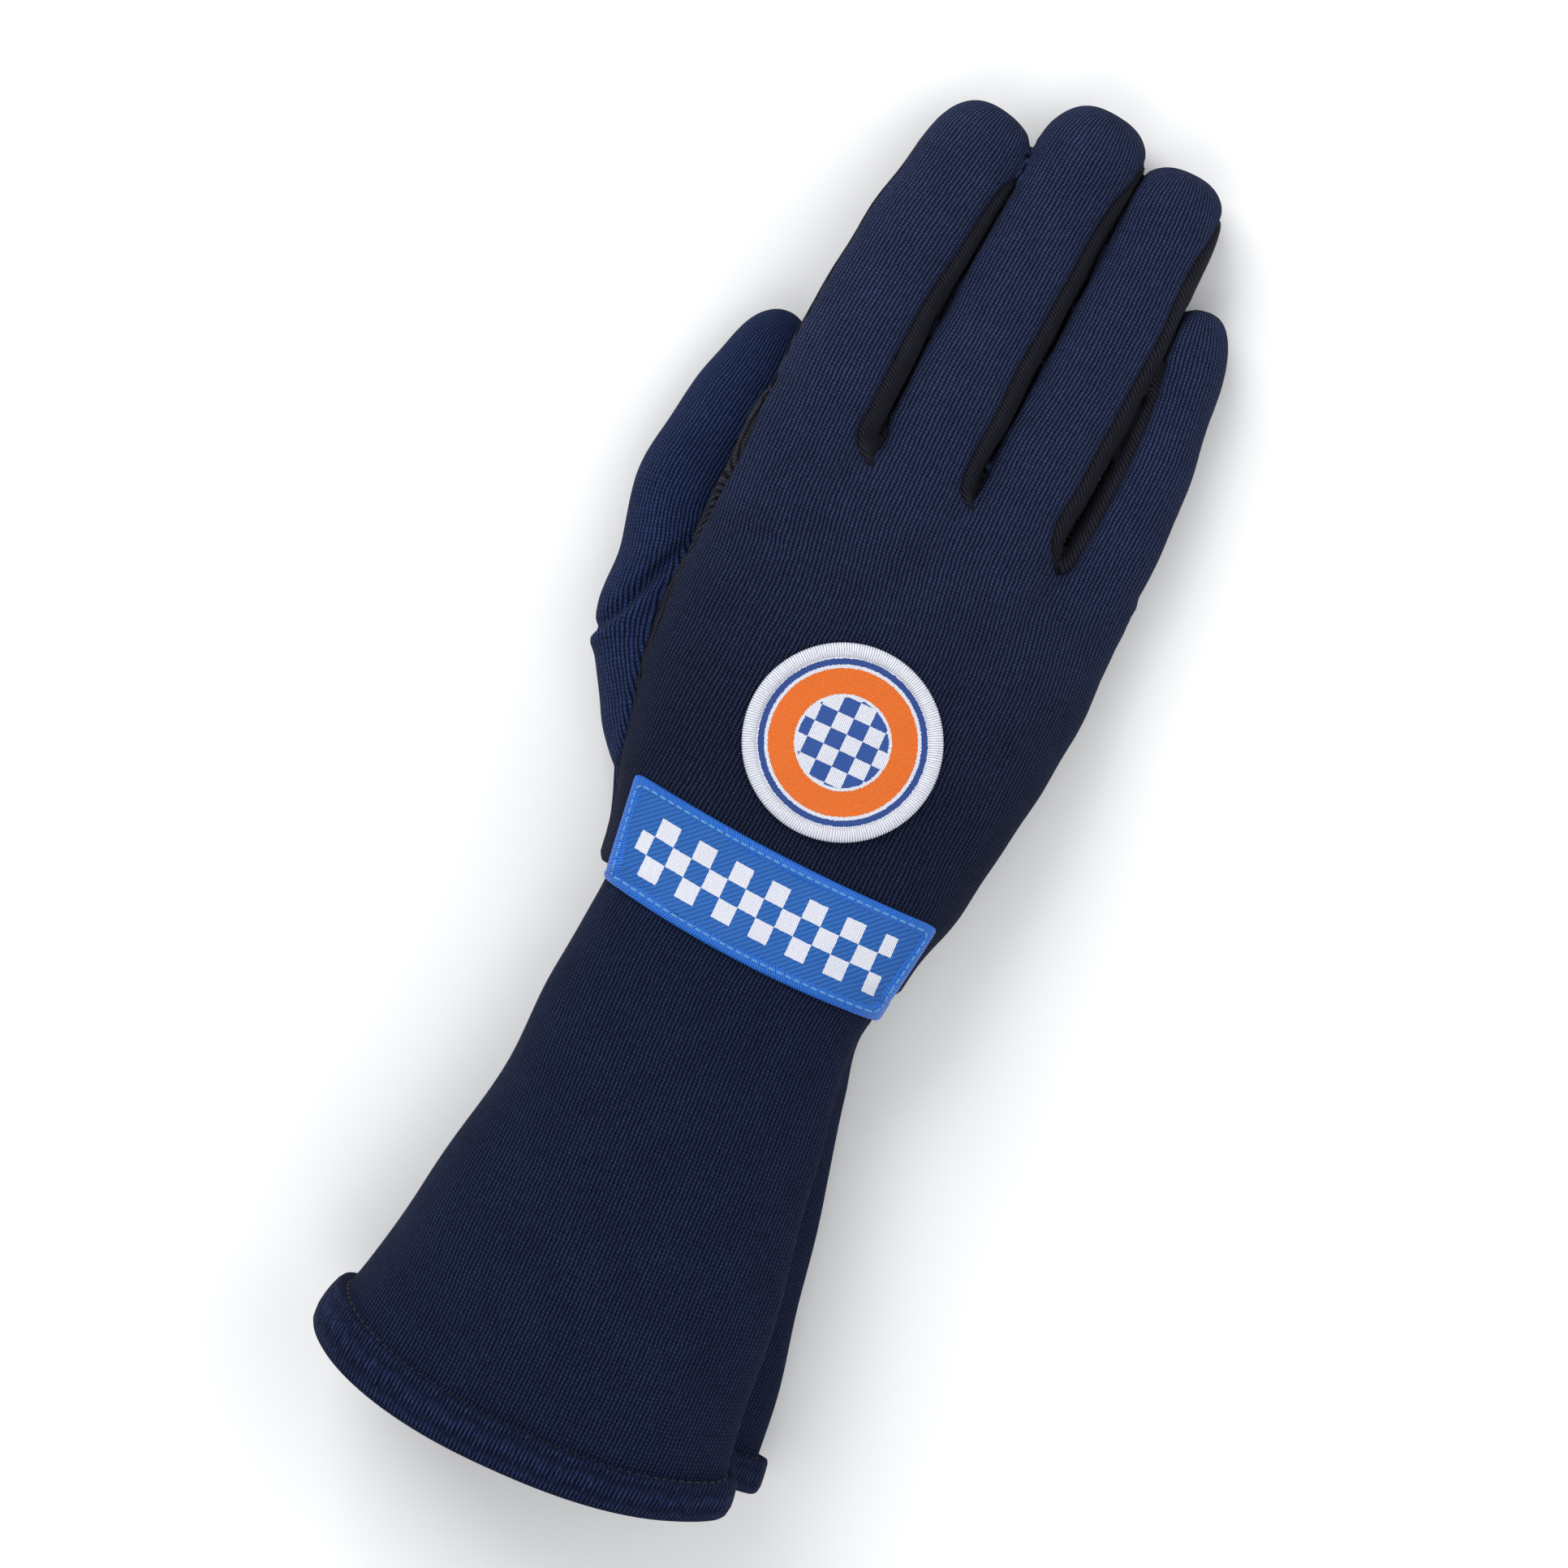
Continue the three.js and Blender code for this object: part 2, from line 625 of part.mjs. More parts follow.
// A closed solid through rings whose first points form an uneven top over a flat base
function ribbonSolid(rings) {
  const halves = rings.map((ring) => {
    const top = ring.slice(0, -2);
    const base = top.map(([x, y]) => [x, y, ring.at(-1)[2]]).reverse();
    return [...top, ...base];
  });
  const sides = halves[0].length;
  const positions = halves.flat(2);
  const faces = [];
  for (let ring = 0; ring < halves.length - 1; ring += 1) {
    for (let side = 0; side < sides; side += 1) {
      const next = (side + 1) % sides;
      const low = ring * sides;
      const high = low + sides;
      faces.push(low + side, low + next, high + next, low + side, high + next, high + side);
    }
  }
  [0, halves.length - 1].forEach((ring) => {
    for (let step = 0; step < sides / 2 - 1; step += 1) {
      const [a, b] = [step, step + 1].map((side) => ring * sides + side);
      const [c, d] = [sides - 2 - step, sides - 1 - step].map((side) => ring * sides + side);
      faces.push(...(ring === 0 ? [a, c, b, a, d, c] : [a, b, c, a, c, d]));
    }
  });
  return meshSolid(positions, faces);
}

// Everything below the seam between the thumb's back and its inner side
function thumbFrontRegion(lower) {
  const rings = [thumbRows[0], ...thumbRows, thumbRows.at(-1)].map((row, index, all) => {
    const past = index === 0 ? -thumbWidth : index === all.length - 1 ? thumbWidth : 0;
    const y = row.y * thumbLength + past;
    const z = (row.height + thumbSeamShare * row.deep) * thumbDepth - lower;
    const line = [[-handWidth, y, z], [0, y, z]];
    return [...line, [0, y, -handDepth], [-handWidth, y, -handDepth]];
  });
  return ribbonSolid(rings);
}

// The wrist patch's outline, drawn in by inset on every side
function patchShape(inset) {
  const halfTop = patchTopWidth / 2 - inset;
  const halfFoot = patchFootWidth / 2 - inset;
  const halfHeight = patchHeight / 2 - inset;
  const edge = (half, y, sag) => Array.from({ length: patchSteps + 1 }, (_, step) => {
    const share = (step / patchSteps) * 2 - 1;
    const lean = -share * (patchDrop / 2);
    return new THREE.Vector2(share * half, y + lean - sag * (1 - share * share));
  });
  const foot = edge(halfFoot, -halfHeight, patchFootSag);
  const top = edge(halfTop, halfHeight, patchSag).reverse();
  return new THREE.Shape([...foot, ...top]);
}

// An upright block over the back of the glove with a given outline
function blockOver(shape, x, y) {
  const geometry = new THREE.ExtrudeGeometry(shape, { depth: mouthTop, bevelEnabled: false });
  geometry.translate(x, y, handRest + patchFloor);
  return geometrySolid(geometry);
}

// The layer of a given thickness that lies on the back of the glove, a seam gap above it
function layerOn(thick) {
  return bodySolid(-seamGap - thick, 0).subtract(bodySolid(-seamGap, 0));
}

function discShape(radius) {
  const shape = new THREE.Shape();
  shape.absarc(0, 0, radius, 0, Math.PI * 2);
  return shape;
}

function discOver(radius) {
  const geometry = new THREE.ExtrudeGeometry(discShape(radius), {
    depth: mouthTop,
    bevelEnabled: false,
    curveSegments: discSides,
  });
  geometry.translate(badgeX, badgeY, handRest);
  return geometrySolid(geometry);
}

// The whole hand, outside and inside
const bodyOuter = bodySolid(0, 0);
const bodyInner = bodySolid(clothWall, hollowOverrun);
const fingersOuter = fingers.map((finger) => fingerSolid(finger, 0));
const fingersInner = fingers.map((finger) => fingerSolid(finger, clothWall));
const thumbOuter = thumbSolid(0);
const handOuter = joinSolids([bodyOuter, ...fingersOuter]);
const hollow = joinSolids([bodyInner, ...fingersInner, thumbSolid(clothWall)]);
const handShell = handOuter.subtract(hollow);

function slabY(from, to) {
  const reach = handWidth + mouthWidth;
  return boxSolid([-reach, from, -reach], [reach, to, reach]);
}

const farY = palmLength + cuffLength + thumbLength;
const pairs = [0, 1, 2].map((index) => [fingers[index], fingers[index + 1]]);
const grownStrips = joinSolids(pairs.map(([left, right]) => stripRegion(left, right, seamGap)));
const panels = handShell.intersect(slabY(wristSeamY + seamGap / 2, farY)).subtract(grownStrips);
const palmBelow = palmRegion(seamGap / 2);
const backAbove = palmRegion(-seamGap / 2);

const backPanel = mainBody(panels.subtract(backAbove));
const palmPanel = mainBody(panels.intersect(palmBelow));
const strips = pairs.map(([left, right]) => {
  const name = `fourchette_${left.name}_${right.name}`;
  return [name, mainBody(handShell.intersect(stripRegion(left, right, 0)))];
});

const handGrown = joinSolids([
  bodySolid(-seamGap, 0),
  ...fingers.map((finger) => fingerSolid(finger, -seamGap)),
]);
const thumbShell = mainBody(thumbOuter.subtract(hollow).subtract(handGrown));
const thumbBack = mainBody(thumbShell.subtract(thumbFrontRegion(-seamGap / 2)));
const thumbFront = mainBody(thumbShell.intersect(thumbFrontRegion(seamGap / 2)));

const cuff = mainBody(handShell.intersect(slabY(-farY, wristSeamY - seamGap / 2)));
const patch = mainBody(layerOn(patchThick).intersect(blockOver(patchShape(borderWidth + seamGap), 0, 0)));
const border = mainBody(
  layerOn(borderThick)
    .intersect(blockOver(patchShape(0), 0, 0))
    .subtract(blockOver(patchShape(borderWidth), 0, 0)),
);
const badgeRadius = badgeDiameter / 2;
const badge = mainBody(layerOn(badgeThick).intersect(discOver(badgeRadius - badgeEdgeWidth - seamGap)));
const badgeEdge = mainBody(
  layerOn(badgeEdgeThick)
    .intersect(discOver(badgeRadius))
    .subtract(discOver(badgeRadius - badgeEdgeWidth)),
);

function pieceMesh(name, solid, finish) {
  const mesh = solid.getMesh();
  const cut = new THREE.BufferGeometry();
  cut.setAttribute("position", new THREE.BufferAttribute(mesh.vertProperties, 3));
  cut.setIndex(new THREE.BufferAttribute(mesh.triVerts, 1));
  const geometry = mergeVertices(cut, weldDistance);
  const faces = geometry.index.array;
  const whole = [];
  for (let face = 0; face < faces.length; face += 3) {
    const [a, b, c] = faces.slice(face, face + 3);
    if (a !== b && b !== c && c !== a) whole.push(a, b, c);
  }
  geometry.setIndex(whole);
  geometry.computeVertexNormals();
  const material = new THREE.MeshStandardMaterial({ ...finish, metalness: 0 });
  const piece = new THREE.Mesh(geometry, material);
  piece.name = name;
  return piece;
}

const glove = new THREE.Group();
glove.add(pieceMesh("back_panel", backPanel, finishes.navy));
glove.add(pieceMesh("palm_panel", palmPanel, finishes.charcoal));
strips.forEach(([name, solid]) => glove.add(pieceMesh(name, solid, finishes.charcoal)));
glove.add(pieceMesh("thumb_back", thumbBack, finishes.navy));
glove.add(pieceMesh("thumb_front", thumbFront, finishes.charcoal));
glove.add(pieceMesh("cuff", cuff, finishes.navy));
glove.add(pieceMesh("cuff_hem", hemSolid(), finishes.navy));
glove.add(pieceMesh("wrist_patch", patch, finishes.twill));
glove.add(pieceMesh("wrist_patch_border", border, finishes.border));
glove.add(pieceMesh("badge", badge, finishes.orange));
glove.add(pieceMesh("badge_edge", badgeEdge, finishes.white));

// The origin goes to the centre of the bounding box, on the surface below the glove
const extent = new THREE.Box3().setFromObject(glove);
const middle = extent.getCenter(new THREE.Vector3());
glove.position.set(-middle.x, -middle.y, -extent.min.z);

const part = new THREE.Group();
part.add(glove);

export default part;
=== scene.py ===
import math

import bpy
import numpy as np
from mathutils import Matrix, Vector
from mathutils.kdtree import KDTree


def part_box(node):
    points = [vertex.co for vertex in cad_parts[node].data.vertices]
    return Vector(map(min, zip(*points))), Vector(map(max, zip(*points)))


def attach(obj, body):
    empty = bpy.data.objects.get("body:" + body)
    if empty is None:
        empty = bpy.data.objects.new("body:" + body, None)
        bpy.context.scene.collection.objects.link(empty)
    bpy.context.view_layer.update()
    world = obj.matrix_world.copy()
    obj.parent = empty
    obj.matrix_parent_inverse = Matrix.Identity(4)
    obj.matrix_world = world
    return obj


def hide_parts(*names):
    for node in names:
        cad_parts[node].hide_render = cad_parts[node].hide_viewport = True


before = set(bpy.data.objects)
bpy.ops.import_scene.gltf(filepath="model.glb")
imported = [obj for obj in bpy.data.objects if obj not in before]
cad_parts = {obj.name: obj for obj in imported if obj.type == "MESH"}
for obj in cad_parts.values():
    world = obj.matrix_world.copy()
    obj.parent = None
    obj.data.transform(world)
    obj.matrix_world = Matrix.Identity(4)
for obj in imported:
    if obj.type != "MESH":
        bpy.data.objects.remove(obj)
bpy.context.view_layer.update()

# A knitted racing glove, palm down. All shape work is done in millimetres about the middle of
# the wrist patch, fingers along +Y, and moved onto the frame's own badge at the end.
millimetre = 0.001
gridStep = 0.88       # size of the cloth's faces

# Camera and light

look = {
    "roll": 25.0,          # degrees that the fingers lean to the right in the picture
    "frameWidth": 354.5,   # millimetres seen across the picture
    "middle": (-6.9, 25.6),
    "middleHeight": 26.0,
    "distance": 1700.0,
    "sensor": 36.0,
}


def placeCamera(origin):
    data = bpy.data.cameras.new("camera")
    data.sensor_width = look["sensor"]
    data.lens = look["sensor"] * look["distance"] / look["frameWidth"]
    data.clip_end = 20
    camera = bpy.data.objects.new("camera", data)
    x, y = look["middle"]
    camera.location = ((x + origin[0]) * millimetre, (y + origin[1]) * millimetre,
                       (look["middleHeight"] + look["distance"]) * millimetre)
    camera.rotation_euler = (0, 0, math.radians(look["roll"]))
    bpy.context.scene.collection.objects.link(camera)
    bpy.context.scene.camera = camera


badgeSpec = {"x": 1.0, "y": 39.5, "diameter": 45.0}


def findOrigin():
    low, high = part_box("badge_edge")
    x = (low.x + high.x) / 2 / millimetre - badgeSpec["x"]
    y = (low.y + high.y) / 2 / millimetre - badgeSpec["y"]
    return np.array([x, y, 0.0])


origin = findOrigin()
placeCamera(origin)
print("camera placed, origin", origin.round(2).tolist())

# Sizes of the glove, in millimetres, as its construction has them

hand = {"palmLength": 100.0, "width": 100.0, "depth": 38.0, "rest": 20.0, "seamY": -7.5, "webDrop": 9.0}
cuffSpec = {
    "length": 115.0, "wristWidth": 69.0, "wristTop": 41.0, "wristLift": 3.0,
    "mouthWidth": 102.0, "mouthTop": 58.0, "mouthPress": 3.0, "mouthSlant": 33.0,
    "slantFloor": 34.2, "slantBelow": 0.1, "slantBend": 8.1,
    "foldDepth": 11.0, "wall": 2.0, "hemDepth": 8.8, "hemWall": 4.6,
}

# Sections of the hand: shares of the hand's sizes, as named in the header row
handRows = {
    "along": [-0.20, -0.066, 0, 0.2, 0.35, 0.5, 0.65, 0.8, 0.9, 0.965, 1.005, 1.025, 1.045],
    "left": [-.36, -.372, -.385, -.438, -.474, -.492, -.501, -.502, -.497, -.49, -.48, -.468, -.45],
    "right": [.36, .371, .38, .426, .453, .475, .49, .49, .485, .482, .472, .46, .44],
    "deep": [1, 1, 1, 1.04, 1.04, 1.01, .96, .85, .72, .59, .46, .3, .12],
    "drop": [.05, .05, .05, .03, .02, .01, 0, 0, 0, 0, 0, 0, 0],
    "roll": [0, 0, 0, 3, 5, 7, 9.5, 12, 13, 13, 13, 13, 13],
    "square": [2.8, 2.8, 2.8, 2.6, 2.5, 2.4, 2.4, 2.4, 2.4, 2.4, 2.5, 2.6, 2.6],
    "web": [0, 0, 0, 0, 0, 0, 0, 0, .4, .9, 1, 1, 1],
}

# Sections of the cuff from the wrist to the mouth: shares of the way between the two
cuffRows = {
    "along": [-.05, .009, .11, .22, .362, .532, .702, .872, 1, 1.08],
    "left": [0, 0, .05, .1, .18, .32, .49, .75, 1, 1.12],
    "right": [0, 0, -.05, .03, .22, .45, .64, .84, 1, 1.08],
    "rise": [0, 0, .02, .1, .3, .53, .76, .94, 1, 1.02],
    "press": [0, 0, .3, .5, .75, .95, 1, 1, 1, 1],
    "fold": [0, 0, .1, .35, .6, .75, .85, .95, 1, 1],
    "slant": [0, 0, .05, .15, .3, .5, .7, .88, 1, 1.05],
    "square": [2.8, 2.8, 2.75, 2.65, 2.5, 2.4, 2.35, 2.3, 2.25, 2.25],
}
foldLobes = [  # angle and spread in degrees round the section, push as a share of the fold
    {"angle": 21, "spread": 10, "push": 0.3},
    {"angle": 3, "spread": 12, "push": -1.0},
    {"angle": -26, "spread": 16, "push": 0.75},
    {"angle": -142, "spread": 22, "push": 0.4},
]

fingerColumns = ["root", "tip", "height", "tipHeight", "bow", "arch", "length", "rootWidth", "tipWidth",
                 "depth", "web", "ulnar", "radial"]
fingerRows = [  # index to little finger; ulnar and radial are where its strips start, in degrees from the top
    [-.346, -.254, .71, .263, -.11, .07, 85, .274, .258, 21.5, 1.0, 43, None],
    [-.09, -.026, .566, .263, -.05, .047, 95.9, .262, .26, 21.5, 1.0, 47, 80],
    [.148, .186, .434, .253, .07, .024, 90.5, .252, .244, 20.5, 1.0, 47, 80],
    [.375, .342, .289, .221, .17, 0, 72.2, .218, .158, 18, .92, None, 38],
]
fingers = [dict(zip(fingerColumns, row)) for row in fingerRows]
fingerShape = {"domeStart": 0.8, "domePower": 2.8, "square": 2.17, "stripLower": 128}

thumbSpec = {"length": 124.0, "width": 23.5, "depth": 21.0, "domeStart": 0.8, "domePower": 2.2,
             "square": 2.17, "seamShare": -0.28}
thumbRows = {
    "along": [-.12, -.04, .12, .24, .36, .48, .62, .8, .88, .94, 1, 1.1],
    "x": [-1.2, -1.26, -1.36, -1.76, -2.1, -2.2, -2.37, -2.26, -2.2, -2.18, -2.17, -2.17],
    "height": [.84, .82, .74, .67, .61, .56, .515, .48, .47, .46, .45, .45],
    "swell": [.62, .64, .96, 1.06, 1.08, 1.02, .99, .96, .955, .95, .94, .94],
    "deep": [1, 1, 1.08, 1.12, 1.1, 1.05, 1, .96, .96, .96, .95, .95],
}

# how softly the fingers and the thumb join the palm, and between which places that grows to the most
joinSpec = {
    "least": 0.6, "finger": 5.5, "fingerFrom": 16, "fingerTo": -3, "besideFinger": 30,
    "thumb": 3.4, "thumbFrom": 70, "thumbTo": 46, "thumbReach": 5,
}


def unit(vectors):
    return vectors / (np.linalg.norm(vectors, axis=1, keepdims=True) + 1e-9)


def blend(low, high, share):
    return low + (high - low) * share


def smooth(low, high, value):
    share = np.clip((value - low) / (high - low), 0, 1)
    return share * share * (3 - 2 * share)


def readRows(rows, column, at):
    # a smooth curve through a table's rows, with no overshoot
    x = np.asarray(rows["along"], float)
    y = np.asarray(rows[column], float)
    step = np.diff(x)
    slope = np.diff(y) / step
    inner = np.where(slope[:-1] * slope[1:] > 0,
                     2 * slope[:-1] * slope[1:] / (slope[:-1] + slope[1:] + 1e-12), 0)
    tangent = np.concatenate([[slope[0]], inner, [slope[-1]]])
    at = np.clip(at, x[0], x[-1])
    cell = np.clip(np.searchsorted(x, at, side="right") - 1, 0, len(x) - 2)
    width = step[cell]
    share = (at - x[cell]) / width
    square, cube = share ** 2, share ** 3
    return ((2 * cube - 3 * square + 1) * y[cell] + (cube - 2 * square + share) * width * tangent[cell]
            + (3 * square - 2 * cube) * y[cell + 1] + (cube - square) * width * tangent[cell + 1])


def roundedNorm(across, up, halfWidth, halfDepth, square):
    # distance from a rounded section, and how far out a point lies as a share of its size
    a = np.abs(across) / halfWidth + 1e-9
    b = np.abs(up) / halfDepth + 1e-9
    norm = (a ** square + b ** square) ** (1 / square)
    slopeA = (a / norm) ** (square - 1) / halfWidth
    slopeB = (b / norm) ** (square - 1) / halfDepth
    return norm, np.hypot(slopeA, slopeB)


def foldPush(angle):
    degrees = np.degrees(angle)
    away = [((degrees - lobe["angle"] + 540) % 360 - 180) / lobe["spread"] for lobe in foldLobes]
    return sum(lobe["push"] * np.exp(-0.5 * turned ** 2) for lobe, turned in zip(foldLobes, away))


def slantHeight(z):
    # the mouth slants above a level and is nearly square below it, with a soft bend between
    above = z - cuffSpec["slantFloor"]
    below = cuffSpec["slantBelow"]
    bend = np.hypot(above, cuffSpec["slantBend"])
    return cuffSpec["slantFloor"] + ((1 + below) * above + (1 - below) * bend) / 2


def cuffSection(along):
    left = blend(cuffSpec["wristWidth"], cuffSpec["mouthWidth"], readRows(cuffRows, "left", along)) / 2
    right = blend(cuffSpec["wristWidth"], cuffSpec["mouthWidth"], readRows(cuffRows, "right", along)) / 2
    top = blend(cuffSpec["wristTop"], cuffSpec["mouthTop"], readRows(cuffRows, "rise", along))
    low = blend(cuffSpec["wristLift"], -cuffSpec["mouthPress"], readRows(cuffRows, "press", along))
    lean = readRows(cuffRows, "slant", along) * cuffSpec["mouthSlant"] / cuffSpec["mouthTop"]
    return {"x": (right - left) / 2, "z": (top + low) / 2, "halfWidth": (right + left) / 2,
            "halfDepth": (top - low) / 2, "square": readRows(cuffRows, "square", along),
            "fold": readRows(cuffRows, "fold", along), "lean": lean}


def cuffAlong(y, z):
    along = (hand["seamY"] - y) / cuffSpec["length"]
    for _ in range(5):
        lean = readRows(cuffRows, "slant", along) * cuffSpec["mouthSlant"] / cuffSpec["mouthTop"]
        along = (hand["seamY"] - y - lean * (slantHeight(z) - cuffSpec["mouthTop"] / 2)) / cuffSpec["length"]
    return along


def handSides(along):
    # middle and half width of the hand's section
    left = readRows(handRows, "left", along) * hand["width"]
    right = readRows(handRows, "right", along) * hand["width"]
    return (left + right) / 2, (right - left) / 2


def handTurned(p, along, middle):
    # a point in the hand's own section, across it and up from its middle
    turn = np.radians(readRows(handRows, "roll", along))
    dx = p[:, 0] - middle
    dz = p[:, 2] - hand["rest"] - readRows(handRows, "drop", along) * hand["depth"]
    return dx * np.cos(turn) - dz * np.sin(turn), dx * np.sin(turn) + dz * np.cos(turn)


def handField(p):
    x, y = p[:, 0], p[:, 1]
    webFrom = blend(fingers[2]["root"], fingers[3]["root"], 0.3) * hand["width"]
    webTo = blend(fingers[2]["root"], fingers[3]["root"], 0.75) * hand["width"]
    drop = hand["webDrop"] * smooth(webFrom, webTo, x)
    along = y / hand["palmLength"]
    for _ in range(3):
        along = (y + drop * readRows(handRows, "web", along)) / hand["palmLength"]
    middle, halfWidth = handSides(along)
    across, up = handTurned(p, along, middle)
    halfDepth = readRows(handRows, "deep", along) * hand["depth"] / 2
    norm, steep = roundedNorm(across, up, halfWidth, halfDepth, readRows(handRows, "square", along))
    return np.maximum((norm - 1) / steep, (along - 1.04) * hand["palmLength"])


def cuffField(p):
    x, y, z = p[:, 0], p[:, 1], p[:, 2]
    s = cuffSection(cuffAlong(y, z))
    angle = np.arctan2((z - s["z"]) / s["halfDepth"], (x - s["x"]) / s["halfWidth"])
    push = foldPush(angle) * s["fold"] * cuffSpec["foldDepth"]
    norm, steep = roundedNorm(x - s["x"] - push, z - s["z"], s["halfWidth"], s["halfDepth"], s["square"])
    return (norm - 1) / steep


def bodyField(p):
    # the back of the hand and the cuff as one surface, for what is sewn over the wrist
    share = smooth(hand["seamY"] - 2, hand["seamY"] + 2, p[:, 1])
    return blend(cuffField(p), handField(p), share)


def fingerMiddle(finger, share):
    past = np.maximum(0, share)
    bend = np.sin(np.pi * np.minimum(past, 1.02))
    x = blend(finger["root"], finger["tip"], past) * hand["width"] + finger["bow"] * bend * finger["depth"]
    y = finger["web"] * hand["palmLength"] + share * finger["length"]
    z = (blend(finger["height"], finger["tipHeight"], past) * hand["depth"]
         + finger["arch"] * bend * finger["depth"])
    return np.stack([x, y, z], -1)


def thumbMiddle(share):
    return np.stack([readRows(thumbRows, "x", share) * thumbSpec["width"], share * thumbSpec["length"],
                     readRows(thumbRows, "height", share) * thumbSpec["depth"]], -1)


def tubeFrame(p, middle, length, start):
    # share along a bent tube, and the two distances from its middle line
    share = (p[:, 1] - start) / length
    for _ in range(3):
        centre = middle(share)
        ahead = unit(middle(share + 0.01) - middle(share - 0.01))
        share = share + ((p - centre) * ahead).sum(1) / length
    centre = middle(share)
    side = unit(np.stack([ahead[:, 1], -ahead[:, 0], np.zeros(len(p))], -1))
    up = np.cross(side, ahead)
    offset = p - centre
    return share, (offset * side).sum(1), (offset * up).sum(1)


def fingerFrame(p, finger):
    start = finger["web"] * hand["palmLength"]
    return tubeFrame(p, lambda share: fingerMiddle(finger, share), finger["length"], start)


def domedField(share, across, up, halfWidth, halfDepth, shape, length):
    q, steep = roundedNorm(across, up, halfWidth, halfDepth, shape["square"])
    power = shape["domePower"]
    dome = np.maximum(0, (share - shape["domeStart"]) / (1 - shape["domeStart"])) + 1e-9
    norm = (q ** power + dome ** power) ** (1 / power)
    slopeQ = (q / norm) ** (power - 1) * steep
    slopeDome = (dome / norm) ** (power - 1) / ((1 - shape["domeStart"]) * length)
    return (norm - 1) / np.hypot(slopeQ, slopeDome)


def fingerSize(finger, share):
    width = blend(finger["rootWidth"], finger["tipWidth"], np.clip(share, 0, 1)) * hand["width"]
    taper = 1 + 1.6 * np.clip(share, -0.3, 0)
    return width / 2 * taper, finger["depth"] / 2


def fingerField(p, finger):
    share, across, up = fingerFrame(p, finger)
    halfWidth, halfDepth = fingerSize(finger, share)
    field = domedField(share, across, up, halfWidth, halfDepth, fingerShape, finger["length"])
    return np.where(share < -0.25, np.maximum(field, (-0.25 - share) * finger["length"]), field)


def thumbFrame(p):
    return tubeFrame(p, thumbMiddle, thumbSpec["length"], 0)


def thumbField(p):
    share, across, up = thumbFrame(p)
    halfWidth = readRows(thumbRows, "swell", share) * thumbSpec["width"] / 2
    halfDepth = readRows(thumbRows, "deep", share) * thumbSpec["depth"] / 2
    return domedField(share, across, up, halfWidth, halfDepth, thumbSpec, thumbSpec["length"])


def softJoin(a, b, reach):
    share = np.clip(0.5 + 0.5 * (b - a) / reach, 0, 1)
    return blend(b, a, share) - reach * share * (1 - share)


def gloveField(p):
    palm = handField(p)
    whole = palm.copy()
    for finger in fingers:
        start = finger["web"] * hand["palmLength"]
        box = np.abs(p[:, 0] - finger["root"] * hand["width"]) < joinSpec["besideFinger"]
        box &= p[:, 1] > start - joinSpec["besideFinger"]
        near = p[box]
        root = smooth(start + joinSpec["fingerFrom"], start + joinSpec["fingerTo"], near[:, 1])
        joined = softJoin(palm[box], fingerField(near, finger), joinSpec["least"] + joinSpec["finger"] * root)
        whole[box] = np.minimum(whole[box], joined)
    box = p[:, 0] < joinSpec["thumbReach"]
    near = p[box]
    crotch = smooth(joinSpec["thumbFrom"], joinSpec["thumbTo"], near[:, 1])
    joined = softJoin(whole[box], thumbField(near), joinSpec["least"] + joinSpec["thumb"] * crotch)
    whole[box] = np.minimum(whole[box], joined)
    return np.maximum(whole, -p[:, 2])


def surfaceOf(field, low, high, step):
    # faces of about one step on the zero surface of a field
    axes = [np.arange(low[k], high[k] + step, step) for k in range(3)]
    shape = [len(a) for a in axes]
    points = np.stack(np.meshgrid(*axes, indexing="ij"), -1).reshape(-1, 3)
    portion = 400000  # points worked out at a time, which keeps the memory small
    value = [field(points[i:i + portion]) for i in range(0, len(points), portion)]
    value = np.concatenate(value).reshape(shape)
    inside = value < 0
    total = np.zeros([n - 1 for n in shape] + [3])
    count = np.zeros([n - 1 for n in shape])
    corner = [slice(0, -1), slice(1, None)]
    for axis in range(3):
        others = [k for k in range(3) if k != axis]
        for i in range(2):
            for j in range(2):
                a, b = [None] * 3, [None] * 3
                a[axis], b[axis] = corner
                a[others[0]] = b[others[0]] = corner[i]
                a[others[1]] = b[others[1]] = corner[j]
                va, vb = value[tuple(a)], value[tuple(b)]
                cross = inside[tuple(a)] != inside[tuple(b)]
                share = np.where(cross, va / (va - vb + 1e-30), 0)
                place = [share if k == axis else (i if k == others[0] else j) for k in range(3)]
                for k in range(3):
                    total[..., k] += np.where(cross, place[k], 0)
                count += cross
    used = count > 0
    number = -np.ones(used.shape, int)
    number[used] = np.arange(used.sum())
    cell = np.argwhere(used)
    verts = (cell + total[used] / count[used][:, None]) * step + np.array(low)
    quads = []
    for axis in range(3):
        others = [k for k in range(3) if k != axis]
        a, b = [slice(1, -1)] * 3, [slice(1, -1)] * 3
        a[axis], b[axis] = slice(0, -1), slice(1, None)
        cross = inside[tuple(a)] != inside[tuple(b)]
        where = np.argwhere(cross)
        outward = inside[tuple(a)][cross]
        where[:, others[0]] += 1
        where[:, others[1]] += 1
        ring = []
        for di, dj in ((-1, -1), (0, -1), (0, 0), (-1, 0)):
            at = where.copy()
            at[:, others[0]] += di
            at[:, others[1]] += dj
            ring.append(number[at[:, 0], at[:, 1], at[:, 2]])
        ring = np.stack(ring, -1)
        flip = outward if axis != 1 else ~outward
        ring[~flip] = ring[~flip][:, ::-1]
        quads.append(ring)
    quads = np.concatenate(quads)
    return verts, quads[(quads >= 0).all(1)]


def slopeOf(field, p, gap=0.02):
    return np.stack([field(p + step) - field(p - step) for step in gap * np.eye(3)], -1) / (2 * gap)


